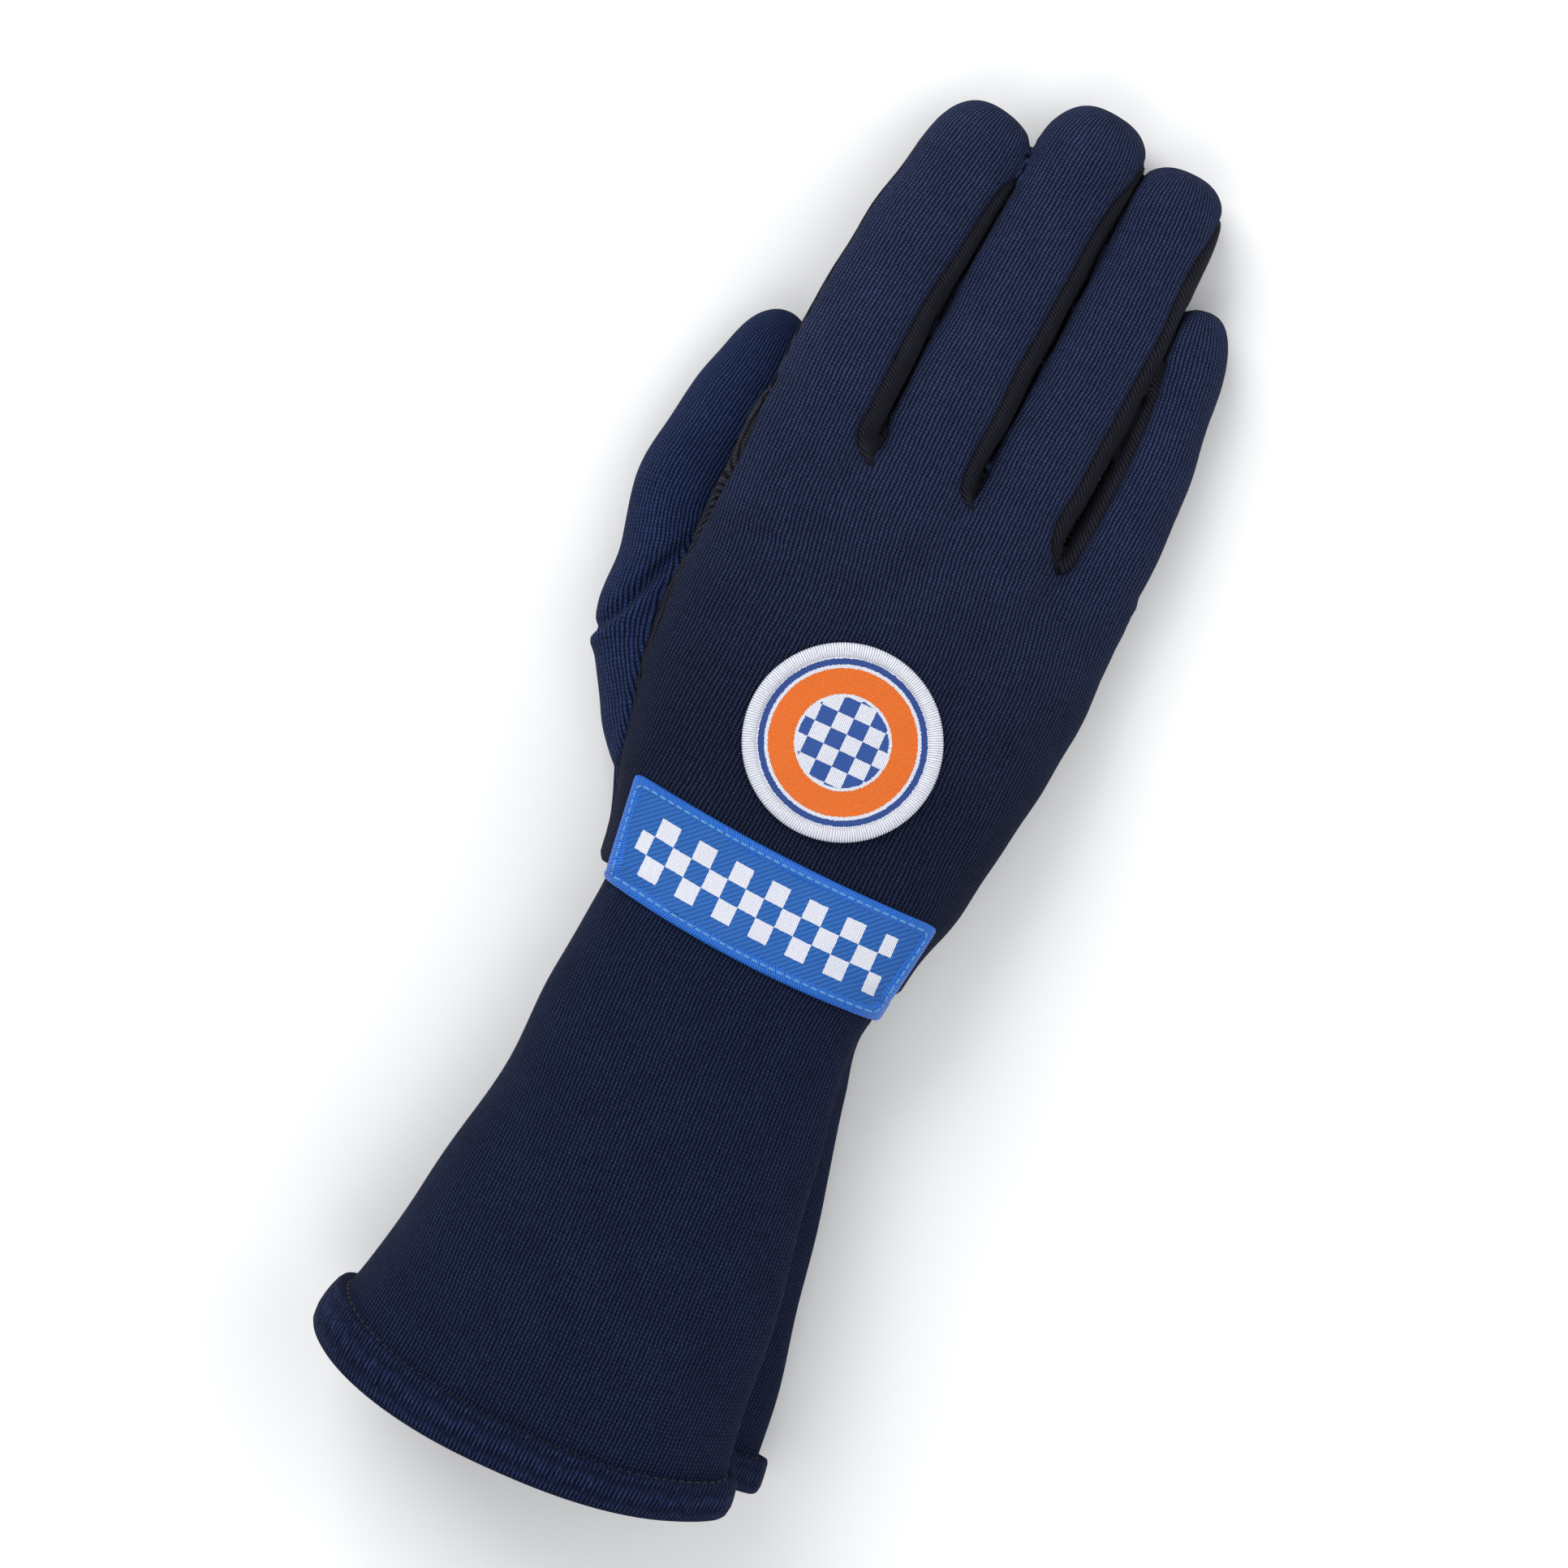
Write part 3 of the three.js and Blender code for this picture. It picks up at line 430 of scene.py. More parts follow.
def settle(field, p, rounds=3):
    # moves points onto the zero surface
    for _ in range(rounds):
        slope = slopeOf(field, p)
        size = np.maximum((slope ** 2).sum(1), 0.2)
        move = -field(p)[:, None] * slope / size[:, None]
        length = np.linalg.norm(move, axis=1, keepdims=True)
        p = p + move * np.minimum(1, 0.8 / np.maximum(length, 1e-9))
    return p


# Cutting the surface into its sewn pieces

farOff = 20  # millimetres from a seam beyond which its distance isn't followed


def cutMesh(verts, tris, sides, value, slope, normal, free):
    # splits triangles along value = 0; near corners are moved onto the line where they are free
    snap = 0.3 * gridStep
    along = slope - normal * (slope * normal).sum(1, keepdims=True)
    steep = (along * slope).sum(1)
    near = free & (np.abs(value) < snap) & (steep > 0.15)
    verts = verts.copy()
    verts[near] -= value[near, None] * along[near] / steep[near, None]
    value = np.where(near | (np.abs(value) < 0.03), 0, value)
    pairs = np.sort(tris[:, [[0, 1], [1, 2], [2, 0]]], axis=2).reshape(-1, 2)
    key = pairs[:, 0] * np.int64(len(verts)) + pairs[:, 1]
    _, first, place = np.unique(key, return_index=True, return_inverse=True)
    edge = pairs[first]
    low, high = value[edge[:, 0]], value[edge[:, 1]]
    crossing = low * high < 0
    number = -np.ones(len(edge), np.int64)
    number[crossing] = len(verts) + np.arange(crossing.sum())
    share = (low / (low - high + 1e-30))[crossing, None]
    added = verts[edge[crossing, 0]] * (1 - share) + verts[edge[crossing, 1]] * share
    middle = number[place.reshape(-1)].reshape(-1, 3)
    count = (middle >= 0).sum(1)
    whole = count == 0
    newTris = [tris[whole]]
    parents = [np.flatnonzero(whole)]
    for k in range(3):
        a, b, c = tris[:, k], tris[:, (k + 1) % 3], tris[:, (k + 2) % 3]
        ab, ca = middle[:, k], middle[:, (k + 2) % 3]
        one = (count == 1) & (ab >= 0)
        newTris += [np.stack([a, ab, c], -1)[one], np.stack([ab, b, c], -1)[one]]
        parents += [np.flatnonzero(one)] * 2
        two = (count == 2) & (ab >= 0) & (ca >= 0)
        newTris += [np.stack([a, ab, ca], -1)[two], np.stack([ab, b, c], -1)[two],
                    np.stack([ab, c, ca], -1)[two]]
        parents += [np.flatnonzero(two)] * 3
    tris = np.concatenate(newTris)
    parents = np.concatenate(parents)
    value = np.concatenate([value, np.zeros(len(added))])
    verts = np.concatenate([verts, added])
    onSeam = value == 0
    side = value[tris].sum(1) > 0
    return verts, tris, np.column_stack([sides[parents], side]), onSeam


def sideOfWrist(p):
    return p[:, 1] - hand["seamY"]


def sideOfThumb(p):
    palm = np.minimum(handField(p), fingerField(p, fingers[0]))
    value = (palm - thumbField(p)) / 1.3
    return np.where(p[:, 0] > joinSpec["thumbReach"], -farOff, np.clip(value, -farOff, farOff))


stripAngles = {  # how far the two seams of a strip have closed in on each other
    "along": [-.06, -.03, .02, .07, .4, .78, .9, .945, 1],
    "close": [1, .6, .2, 0, 0, .03, .5, 1, 1.4],
}
web = {"rise": 6.0, "length": 10.0, "inset": 2.6, "reach": 32, "behind": 8}


def stripSide(p, finger, sign):
    # positive inside the strip along one side of a finger, in millimetres from its seams
    share, across, up = fingerFrame(p, finger)
    halfWidth, halfDepth = fingerSize(finger, share)
    angle = np.degrees(np.arctan2(sign * across / halfWidth, up / halfDepth))
    angle = np.where(angle < -90, angle + 360, angle)
    upper = finger["ulnar" if sign > 0 else "radial"]
    lower = fingerShape["stripLower"]
    closing = readRows(stripAngles, "close", share) * (lower - upper) / 2
    dome = np.clip((share - 0.8) / 0.2, 0, 0.97)
    radius = halfDepth * (1 - dome ** 2.4) ** 0.42
    value = np.minimum(angle - upper - closing, lower - closing - angle) * np.pi / 180 * radius
    return np.minimum(value, (share + 0.045) * finger["length"])


def stripBetween(p, left, right):
    start = fingerMiddle(left, np.zeros(1))[0]
    end = fingerMiddle(right, np.zeros(1))[0]
    webEnd = max(left["web"], right["web"]) * hand["palmLength"] + web["length"]
    webStart = min(left["web"], right["web"]) * hand["palmLength"]
    lowX = start[0] + left["rootWidth"] * hand["width"] / 2 - web["inset"]
    highX = end[0] - right["rootWidth"] * hand["width"] / 2 + web["inset"]
    x, y, z = p[:, 0], p[:, 1], p[:, 2]
    level = (start[2] + end[2]) / 2
    halfWidth, halfLength = (highX - lowX) / 2, (webEnd - webStart) / 2
    round_ = np.hypot((x - (lowX + highX) / 2) / halfWidth, (y - (webStart + webEnd) / 2) / halfLength)
    oval = np.minimum((1 - round_) * halfWidth, web["rise"] - np.abs(z - level))
    nearLeft = fingerField(p, right) - fingerField(p, left)
    value = np.maximum(np.minimum(stripSide(p, left, 1), nearLeft),
                       np.minimum(stripSide(p, right, -1), -nearLeft))
    value = np.maximum(value, oval)
    away = (np.abs(x - (start[0] + end[0]) / 2) > web["reach"]) | (y < webStart - web["behind"])
    return np.where(away, -farOff, np.clip(value, -farOff, farOff))


partingRows = {"along": [-.2, 0, .35, .65, 1, 1.5, 2.1], "left": [-.02, 0, .06, .06, .06, .06, .02],
               "right": [0, 0, 0, .02, .02, 0, 0]}


def sideOfParting(p):
    # positive above the side seams between back and palm
    x, y, z = p[:, 0], p[:, 1], p[:, 2]
    along = y / hand["palmLength"]
    row = np.minimum(along, 1)
    turn = np.tan(np.radians(readRows(handRows, "roll", row)))
    middle = hand["rest"] + readRows(handRows, "drop", row) * hand["depth"]
    leftX = readRows(handRows, "left", row) * hand["width"]
    rightX = readRows(handRows, "right", row) * hand["width"]
    onHand = smooth(1.1, 0.95, along)
    centres = []
    for finger in fingers:
        share = np.clip((y - finger["web"] * hand["palmLength"]) / finger["length"], 0, 0.97)
        centres.append(fingerMiddle(finger, share))

    def flatten(atX, atZ):
        return blend(atZ, middle - atX * turn, onHand)

    leftZ = flatten(leftX, centres[0][:, 2]) + readRows(partingRows, "left", along) * hand["depth"]
    rightZ = flatten(rightX, centres[3][:, 2]) + readRows(partingRows, "right", along) * hand["depth"]
    line = [(blend(leftX, centres[0][:, 0], 0.3), leftZ)]
    line += [(c[:, 0], flatten(c[:, 0], c[:, 2])) for c in centres]
    line += [(blend(rightX, centres[3][:, 0], 0.3), rightZ)]
    level = np.where(x < line[0][0], leftZ, rightZ)
    for (x0, z0), (x1, z1) in zip(line[:-1], line[1:]):
        share = (x - x0) / (x1 - x0 + 1e-9)
        level = np.where((share >= 0) & (share <= 1), blend(z0, z1, share), level)
    return np.clip(z - level, -farOff, farOff)


def sharpen(verts, onSeam):
    # corners along the line where two fingers press together go right to the bottom of the valley
    for left, right in zip(fingers[:-1], fingers[1:]):
        start = max(left["web"], right["web"]) * hand["palmLength"] + 14
        index = np.flatnonzero(onSeam & (verts[:, 1] > start))
        p = verts[index]
        a, b = fingerField(p, left), fingerField(p, right)
        index = index[(np.abs(a) < 1.2) & (np.abs(b) < 1.2) & (np.abs(a - b) < 0.4)]
        p = verts[index]
        for _ in range(4):
            for finger in (left, right):
                slope = slopeOf(lambda q, finger=finger: fingerField(q, finger), p)
                p = p - (fingerField(p, finger) / np.maximum((slope ** 2).sum(1), 0.3))[:, None] * slope
        move = p - verts[index]
        length = np.linalg.norm(move, axis=1, keepdims=True)
        verts[index] += move * np.minimum(1, 0.9 / np.maximum(length, 1e-9))
    return verts


def sideOfThumbSeam(p):
    share = p[:, 1] / thumbSpec["length"]
    height = readRows(thumbRows, "height", share)
    height += thumbSpec["seamShare"] * readRows(thumbRows, "deep", share)
    return p[:, 2] - height * thumbSpec["depth"]


def cutPieces(verts, tris):
    # every cut goes through the whole surface, so neighbours keep the same seam line
    cuts = [sideOfWrist, sideOfThumb]
    cuts += [lambda p, k=k: stripBetween(p, fingers[k], fingers[k + 1]) for k in range(3)]
    cuts += [sideOfParting, sideOfThumbSeam]
    sides = np.zeros((len(tris), 0), bool)
    free = np.ones(len(verts), bool)
    for cut in cuts:
        normal = unit(slopeOf(gloveField, verts))
        verts, tris, sides, onSeam = cutMesh(verts, tris, sides, cut(verts), slopeOf(cut, verts),
                                             normal, free)
        free = np.concatenate([free, np.ones(len(verts) - len(free), bool)]) & ~onSeam
        if cut is cuts[4]:
            verts = sharpen(verts, ~free)
    aboveWrist, onThumb, strip0, strip1, strip2, onBack, onThumbBack = sides.T
    label = np.where(onBack, 0, 1)
    label = np.where(strip0, 2, np.where(strip1, 3, np.where(strip2, 4, label)))
    label = np.where(onThumb, np.where(onThumbBack, 5, 6), label)
    return verts, tris[aboveWrist], label[aboveWrist]


def seamPoints(tris, label, count):
    # corners where two pieces meet, or where the cloth ends
    pairs = np.sort(tris[:, [[0, 1], [1, 2], [2, 0]]], axis=2).reshape(-1, 2)
    owner = np.repeat(label, 3)
    key = pairs[:, 0] * np.int64(count) + pairs[:, 1]
    order = np.argsort(key, kind="stable")
    key, owner, pairs = key[order], owner[order], pairs[order]
    same = key[1:] == key[:-1]
    lone = np.ones(len(key), bool)
    lone[1:] &= ~same
    lone[:-1] &= ~same
    seam = lone.copy()
    split = same & (owner[1:] != owner[:-1])
    seam[1:] |= split
    onSeam = np.zeros(count, bool)
    onSeam[pairs[seam].reshape(-1)] = True
    return onSeam


def distanceTo(points, targets):
    tree = KDTree(len(targets))
    for index, target in enumerate(targets.tolist()):
        tree.insert(target, index)
    tree.balance()
    return np.array([tree.find(point)[2] for point in points.tolist()])


def lineDistance(p, line):
    # distance in plan from a bent line, and how near its ends a point lies
    line = np.asarray(line, float)
    best = np.full(len(p), 1e9)
    fade = np.zeros(len(p))
    steps = np.linalg.norm(np.diff(line, axis=0), axis=1)
    start = np.concatenate([[0], np.cumsum(steps)])
    for k in range(len(line) - 1):
        ahead = (line[k + 1] - line[k]) / steps[k]
        offset = p[:, :2] - line[k]
        share = np.clip((offset @ ahead), 0, steps[k])
        away = np.linalg.norm(offset - share[:, None] * ahead, axis=1)
        nearer = away < best
        best = np.where(nearer, away, best)
        fade = np.where(nearer, (start[k] + share) / start[-1], fade)
    return best, np.sin(np.pi * np.clip(fade, 0.02, 0.98)) ** 0.6


def waves(p, size, height, seed):
    # gentle uneven swelling of cloth
    source = np.random.default_rng(seed)
    total = np.zeros(len(p))
    for _ in range(7):
        direction = source.normal(size=3)
        direction /= np.linalg.norm(direction)
        total += np.sin(p @ direction * 2 * np.pi / (size * source.uniform(0.7, 1.6))
                        + source.uniform(0, 6.28))
    return total * height / 2.6


creases = [  # bent lines in plan that press into the cloth; a negative depth raises it
    {"line": [(-63, 37.5), (-60, 40.5), (-57.5, 46), (-55, 52.5), (-52.5, 59), (-50, 66)],
     "depth": 2.7, "width": 1.4, "wrap": 1},
    {"line": [(-64, 33.5), (-59.5, 37.5), (-56, 43.5), (-53, 50), (-50, 57)],
     "depth": -1.3, "width": 2.3, "wrap": 1},
    {"line": [(-67, 47), (-62, 48), (-57.5, 57), (-54, 66)], "depth": -0.6, "width": 4.0, "wrap": 1},
    {"line": [(-22, 101), (-23.5, 92), (-24, 80)], "depth": 0.7, "width": 3.5, "wrap": 0},
    {"line": [(4, 100), (3.4, 90), (3, 80)], "depth": 0.7, "width": 3.5, "wrap": 0},
    {"line": [(29, 91), (27.5, 83), (26, 73)], "depth": 0.8, "width": 3.5, "wrap": 0},
    {"line": [(-44, 44), (-38, 52), (-33, 62)], "depth": 0.4, "width": 4.0, "wrap": 0},
    {"line": [(-46, 30), (-40, 36), (-32, 41)], "depth": 0.35, "width": 3.5, "wrap": 0},
]


def arcLength(angle, a, b):
    # length along an ellipse from its top
    total = np.zeros(len(angle))
    for k in range(8):
        part = angle * (k + 0.5) / 8
        total += np.hypot(a * np.cos(part), b * np.sin(part))
    return total / 8 * angle


def handCloth(p, up):
    # where a point lies on the flat cloth, in millimetres: across and along the wales
    along = p[:, 1] / hand["palmLength"]
    middle, halfWidth = handSides(along)
    across, rise = handTurned(p, along, middle)
    halfDepth = readRows(handRows, "deep", np.minimum(along, 0.97)) * hand["depth"] / 2
    angle = np.arctan2(across / halfWidth, up * rise / halfDepth)
    return np.stack([arcLength(angle, halfWidth, halfDepth) + middle, p[:, 1]], -1)


def handAcross(x, y):
    # place across the cloth over a point of the plan, from its distance to the hand's middle alone
    along = np.minimum(y / hand["palmLength"], 0.9)
    middle, halfWidth = handSides(along)
    halfDepth = readRows(handRows, "deep", np.minimum(along, 0.75)) * hand["depth"] / 2
    angle = np.arcsin(np.clip((x - middle) / halfWidth * 0.96, -0.99, 0.99))
    return arcLength(angle, halfWidth, halfDepth) + middle


def fingerCloth(p, finger, up):
    share, across, rise = fingerFrame(p, finger)
    halfWidth, halfDepth = fingerSize(finger, share)
    angle = np.arctan2(across / halfWidth, up * rise / halfDepth)
    start = finger["web"] * hand["palmLength"]
    middle = handAcross(np.array([finger["root"] * hand["width"]]), np.array([start]))
    return np.stack([arcLength(angle, halfWidth, halfDepth) + middle, share * finger["length"] + start], -1)


def panelCloth(p, up):
    cloth = handCloth(p, up)
    level = np.stack([handAcross(p[:, 0], p[:, 1]), p[:, 1]], -1)
    cloth = blend(cloth, level, smooth(62, 92, p[:, 1])[:, None])
    fields = np.stack([fingerField(p, finger) for finger in fingers], -1)
    nearest = fields.argmin(1)
    for k, finger in enumerate(fingers):
        mine = nearest == k
        start = finger["web"] * hand["palmLength"]
        weight = smooth(start + 1, start + 42, p[mine, 1])[:, None]
        cloth[mine] = blend(cloth[mine], fingerCloth(p[mine], finger, up), weight)
    return cloth


def stripCloth(p, left, right):
    onLeft = (fingerField(p, left) < fingerField(p, right))[:, None]
    return np.where(onLeft, fingerCloth(p, left, 1), fingerCloth(p, right, 1))


def thumbCloth(p, up):
    share, across, rise = thumbFrame(p)
    angle = np.arctan2(across / thumbSpec["width"], up * rise / thumbSpec["depth"])
    length = arcLength(angle, thumbSpec["width"] / 2, thumbSpec["depth"] / 2)
    return np.stack([length, share * thumbSpec["length"]], -1)


# Objects


def makeObject(name, verts, faces, cloth, materials, node, cornerCloth=None, faceMaterial=None):
    mesh = bpy.data.meshes.new(name)
    mesh.from_pydata(((verts + origin) * millimetre).tolist(), [], faces.tolist())
    mesh.update()
    layer = mesh.uv_layers.new(name="knit")
    if cornerCloth is None:
        corner = np.zeros(len(mesh.loops), np.int32)
        mesh.loops.foreach_get("vertex_index", corner)
        cornerCloth = cloth[corner]
    layer.data.foreach_set("uv", cornerCloth.astype(np.float32).reshape(-1))
    mesh.polygons.foreach_set("use_smooth", np.ones(len(mesh.polygons), bool))
    if faceMaterial is not None:
        mesh.polygons.foreach_set("material_index", np.asarray(faceMaterial, np.int32))
    for material in materials:
        mesh.materials.append(material)
    obj = bpy.data.objects.new(name, mesh)
    bpy.context.scene.collection.objects.link(obj)
    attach(obj, "root")
    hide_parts(node)
    print("sewn", name, len(faces))
    return obj


def makeStitched(name, body, threads, materials, node):
    # a piece of cloth with its stitches, which take the second material
    verts, faces, cloth = body
    threadVerts, threadFaces = threads
    allCloth = np.concatenate([cloth, np.zeros((len(threadFaces) * 4, 2))])
    which = np.concatenate([np.zeros(len(faces)), np.ones(len(threadFaces))])
    makeObject(name, np.concatenate([verts, threadVerts]), np.concatenate([faces, threadFaces + len(verts)]),
               None, materials, node, cornerCloth=allCloth, faceMaterial=which)


def giveWall(obj, thickness):
    wall = obj.modifiers.new("wall", "SOLIDIFY")
    wall.thickness = thickness * millimetre
    wall.offset = -1


# Shader arithmetic


class Shade:
    def __init__(self, graph, socket):
        self.graph = graph
        self.socket = socket

    def math(self, operation, *values, flipped=False):
        ordered = (*values, self) if flipped else (self, *values)
        return self.graph.add("ShaderNodeMath", {"operation": operation}, dict(enumerate(ordered)))

    def __add__(self, other):
        return self.math("ADD", other)

    __radd__ = __add__

    def __sub__(self, other):
        return self.math("SUBTRACT", other)

    def __rsub__(self, other):
        return self.math("SUBTRACT", other, flipped=True)

    def __mul__(self, other):
        return self.math("MULTIPLY", other)

    __rmul__ = __mul__

    def __truediv__(self, other):
        return self.math("DIVIDE", other)

    def __pow__(self, other):
        return self.math("POWER", other)

    def __gt__(self, other):
        return self.math("GREATER_THAN", other)

    def __lt__(self, other):
        return self.math("LESS_THAN", other)

    def __abs__(self):
        return self.math("ABSOLUTE")

    def fract(self):
        return self.math("FRACT")

    def floor(self):
        return self.math("FLOOR")

    def clip(self):
        return self.graph.add("ShaderNodeClamp", {}, {0: self})

    def between(self, low, high):
        # 0 below low, 1 above high, smooth in between
        return self.graph.add("ShaderNodeMapRange", {"interpolation_type": "SMOOTHSTEP"},
                              {0: self, 1: low, 2: high})


class Graph:
    def __init__(self, name, roughness=0.9, sheen=0.0, specular=0.3):
        self.material = bpy.data.materials.new(name)
        self.material.use_nodes = True
        self.tree = self.material.node_tree
        self.tree.nodes.clear()
        output = self.tree.nodes.new("ShaderNodeOutputMaterial")
        self.surface = self.tree.nodes.new("ShaderNodeBsdfPrincipled")
        self.tree.links.new(self.surface.outputs[0], output.inputs[0])
        self.fill(self.surface, {"Roughness": roughness, "Sheen Weight": sheen,
                                 "Specular IOR Level": specular})

    def add(self, kind, settings, sockets, output=0):
        node = self.tree.nodes.new(kind)
        for name, value in settings.items():
            setattr(node, name, value)
        self.fill(node, sockets)
        return Shade(self, node.outputs[output])

    def fill(self, node, sockets):
        for name, value in sockets.items():
            if isinstance(value, Shade):
                self.tree.links.new(value.socket, node.inputs[name])
            else:
                node.inputs[name].default_value = value

    def cloth(self):
        point = self.add("ShaderNodeUVMap", {"uv_map": "knit"}, {})
        parts = self.add("ShaderNodeSeparateXYZ", {}, {0: point})
        return parts, Shade(self, parts.socket.node.outputs[1])

    def point(self, x, y):
        return self.add("ShaderNodeCombineXYZ", {}, {0: x, 1: y})

    def noise(self, vector, scale, detail=2.0, roughness=0.5):
        return self.add("ShaderNodeTexNoise", {},
                        {"Vector": vector, "Scale": scale, "Detail": detail, "Roughness": roughness})

    def mix(self, share, a, b):
        ends = {0: share, 6: a, 7: b}
        return self.add("ShaderNodeMix", {"data_type": "RGBA"}, ends, output=2)

    def tint(self, colour, brightness):
        colour = colour if isinstance(colour, Shade) else colour[:3]
        return self.add("ShaderNodeVectorMath", {"operation": "SCALE"}, {0: colour, 3: brightness})

    def finish(self, colour, height, relief):
        bump = self.add("ShaderNodeBump", {}, {"Height": height, "Distance": relief * millimetre,
                                               "Strength": 1.0})
        self.fill(self.surface, {"Base Color": colour, "Normal": bump})
        return self.material


def rgb(red, green, blue):
    return (red, green, blue, 1.0)


knitSpec = {  # wale and course are the width and height of one loop of the knit, in millimetres; valley is how strongly painted shade darkens the colour between the loops
    "wale": 0.95, "course": 0.78, "relief": 0.24, "valley": 0.9,
    "lint": rgb(0.15, 0.17, 0.26), "lintShare": 0.7,
}
knitColours = {
    "back": rgb(0.0150, 0.0220, 0.0570),
    "thumb": rgb(0.0105, 0.0190, 0.0580),
    "cuff": rgb(0.0072, 0.0117, 0.0340),
    "hem": rgb(0.0072, 0.0118, 0.0370),
    "charcoal": rgb(0.0135, 0.0142, 0.0215),
}


def knitMaterial(name, colour, paintedShadeRamp=None):
    # paintedShadeRamp is painted shade: it says where along the cloth the colour ramps up to full brightness,
    # and how dark it is before that
    graph = Graph(name, roughness=0.9, sheen=0.015, specular=0.06)
    u, v = graph.cloth()
    place = graph.point(u, v)
    wobble = graph.noise(place, 0.3) - 0.5
    column = (u + wobble * 0.6) / knitSpec["wale"]
    side = abs(column.fract() * 2 - 1)
    row = v / knitSpec["course"] + side * 0.62 + wobble * 0.8
    leg = 1 - abs(row.fract() * 2 - 1) ** 2
    rounding = 1 - side ** 2.6
    fibre = graph.noise(place, 4.2, 3.0, 0.75)
    height = (rounding * (0.58 + leg * 0.42)).clip()
    mottle = graph.noise(place, 0.1, 3.0, 0.6)
    patchy = graph.noise(place, 0.75, 2.0, 0.6)
    # painted shade: the colour is darkened in the valleys between the loops, which leaves their tops the
    # lightest
    shade = (1 - knitSpec["valley"]) + height * height * knitSpec["valley"] * 2.2
    shade = shade * (0.72 + mottle * 0.56) * (0.5 + patchy) * (0.45 + fibre.between(0.36, 0.66) * 1.1)
    # painted shade: the colour is darker towards the start of the cloth and ramps up to full brightness
    # further along
    if paintedShadeRamp:
        shade = shade * (paintedShadeRamp[2] + (1 - paintedShadeRamp[2]) * v.between(paintedShadeRamp[0], paintedShadeRamp[1]))
    base = graph.tint(colour, shade * 1.1)
    lint = fibre.between(0.62, 0.74) * patchy.between(0.48, 0.64) * knitSpec["lintShare"] * height
    tone = graph.mix(lint, base, knitSpec["lint"])
    return graph.finish(tone, height + fibre * 0.3, knitSpec["relief"])


stripSpec = {
    "relief": 0.2, "lintShare": 0.3,
    # valley is a near-black colour painted into the grooves between the ribs as shade
    "colour": rgb(0.022, 0.0225, 0.034), "valley": rgb(0.0015, 0.0017, 0.003),
}


def stripMaterial(name, rib, slope):
    graph = Graph(name, roughness=0.85, sheen=0.015, specular=0.08)
    u, v = graph.cloth()
    place = graph.point(u, v)
    wobble = graph.noise(place, 0.5) - 0.5
    ribs = ((v + u * slope) / rib + wobble * 0.35).fract()
    height = 1 - abs(ribs * 2 - 1) ** 1.5
    thread = (u / 0.42 + v * 0.4).fract()
    height = height * (0.8 + 0.2 * (1 - (thread * 2 - 1) ** 2))
    fibre = graph.noise(place, 3.0, 3.0, 0.7)
    mottle = graph.noise(place, 0.15, 2.0, 0.5)
    # painted shade: the grooves between the ribs take the near-black valley colour
    base = graph.mix(height, stripSpec["valley"], stripSpec["colour"])
    base = graph.tint(base, (0.65 + fibre * 0.7) * (0.7 + mottle * 0.6))
    lint = fibre.between(0.6, 0.74) * stripSpec["lintShare"] * height
    tone = graph.mix(lint, base, knitSpec["lint"])
    return graph.finish(tone, height + fibre * 0.3, stripSpec["relief"])


# The hand


handLook = {
    "wall": 1.7, "grooveDepth": 0.95, "grooveWidth": 1.0, "swell": 0.32, "swellSize": 26,
    "boxLow": (-70, -10.5, -1.2), "boxHigh": (58, 198, 48), "softNormal": 0.9,
}


def buildHand():
    verts, quads = surfaceOf(gloveField, handLook["boxLow"], handLook["boxHigh"], gridStep)
    verts = settle(gloveField, verts)
    tris = np.concatenate([quads[:, [0, 1, 2]], quads[:, [0, 2, 3]]])
    verts, tris, label = cutPieces(verts, tris)
    used, tris = np.unique(tris, return_inverse=True)
    tris = tris.reshape(-1, 3)
    verts = settle(gloveField, verts[used], 1)
    onSeam = seamPoints(tris, label, len(verts))
    away = distanceTo(verts, verts[onSeam])
    normal = unit(slopeOf(gloveField, verts, handLook["softNormal"]))
    press = handLook["grooveDepth"] * np.exp(-(away / handLook["grooveWidth"]) ** 2)
    top = smooth(0.1, 0.6, normal[:, 2])
    for crease in creases:
        distance, fade = lineDistance(verts, crease["line"])
        facing = smooth(-0.5, -0.1, normal[:, 2]) if crease["wrap"] else top
        press += crease["depth"] * fade * facing * np.exp(-(distance / crease["width"]) ** 2)
    quiet = smooth(0, 3, verts[:, 2])
    press += waves(verts, handLook["swellSize"], handLook["swell"], 3) * quiet
    shown = verts - normal * press[:, None]
    shown[:, 2] = np.maximum(shown[:, 2], 0)
    # painted shade on the back: half as bright up to 10 mm along the hand, full brightness from 135 mm
    navy = knitMaterial("navy knit", knitColours["back"], (10, 135, 0.5))
    charcoal = knitMaterial("charcoal knit", knitColours["charcoal"])
    thumbNavy = knitMaterial("thumb knit", knitColours["thumb"])
    strip = stripMaterial("strip knit", 0.85, 0.5)
    panels = [  # in the order of the labels
        ("back_panel", "navy_knit", navy, lambda p: panelCloth(p, 1)),
        ("palm_panel", "charcoal_knit", charcoal, lambda p: panelCloth(p, -1)),
        ("fourchette_index_middle", "fourchette_knit", strip, lambda p: stripCloth(p, *fingers[0:2])),
        ("fourchette_middle_ring", "fourchette_knit", strip, lambda p: stripCloth(p, *fingers[1:3])),
        ("fourchette_ring_little", "fourchette_knit", stripMaterial("strip knit diagonal", 1.15, 0.9),
         lambda p: stripCloth(p, *fingers[2:4])),
        ("thumb_back", "navy_knit", thumbNavy, lambda p: thumbCloth(p, 1)),
        ("thumb_front", "charcoal_knit", charcoal, lambda p: thumbCloth(p, -1)),
    ]
    for k, (name, slot, material, layOut) in enumerate(panels):
        mine, faces = np.unique(tris[label == k], return_inverse=True)
        faces = faces.reshape(-1, 3)
        piece = makeObject(name + "_cloth", shown[mine], faces, layOut(verts[mine]), [material], name)
        giveWall(piece, handLook["wall"])


# The cuff and its hem


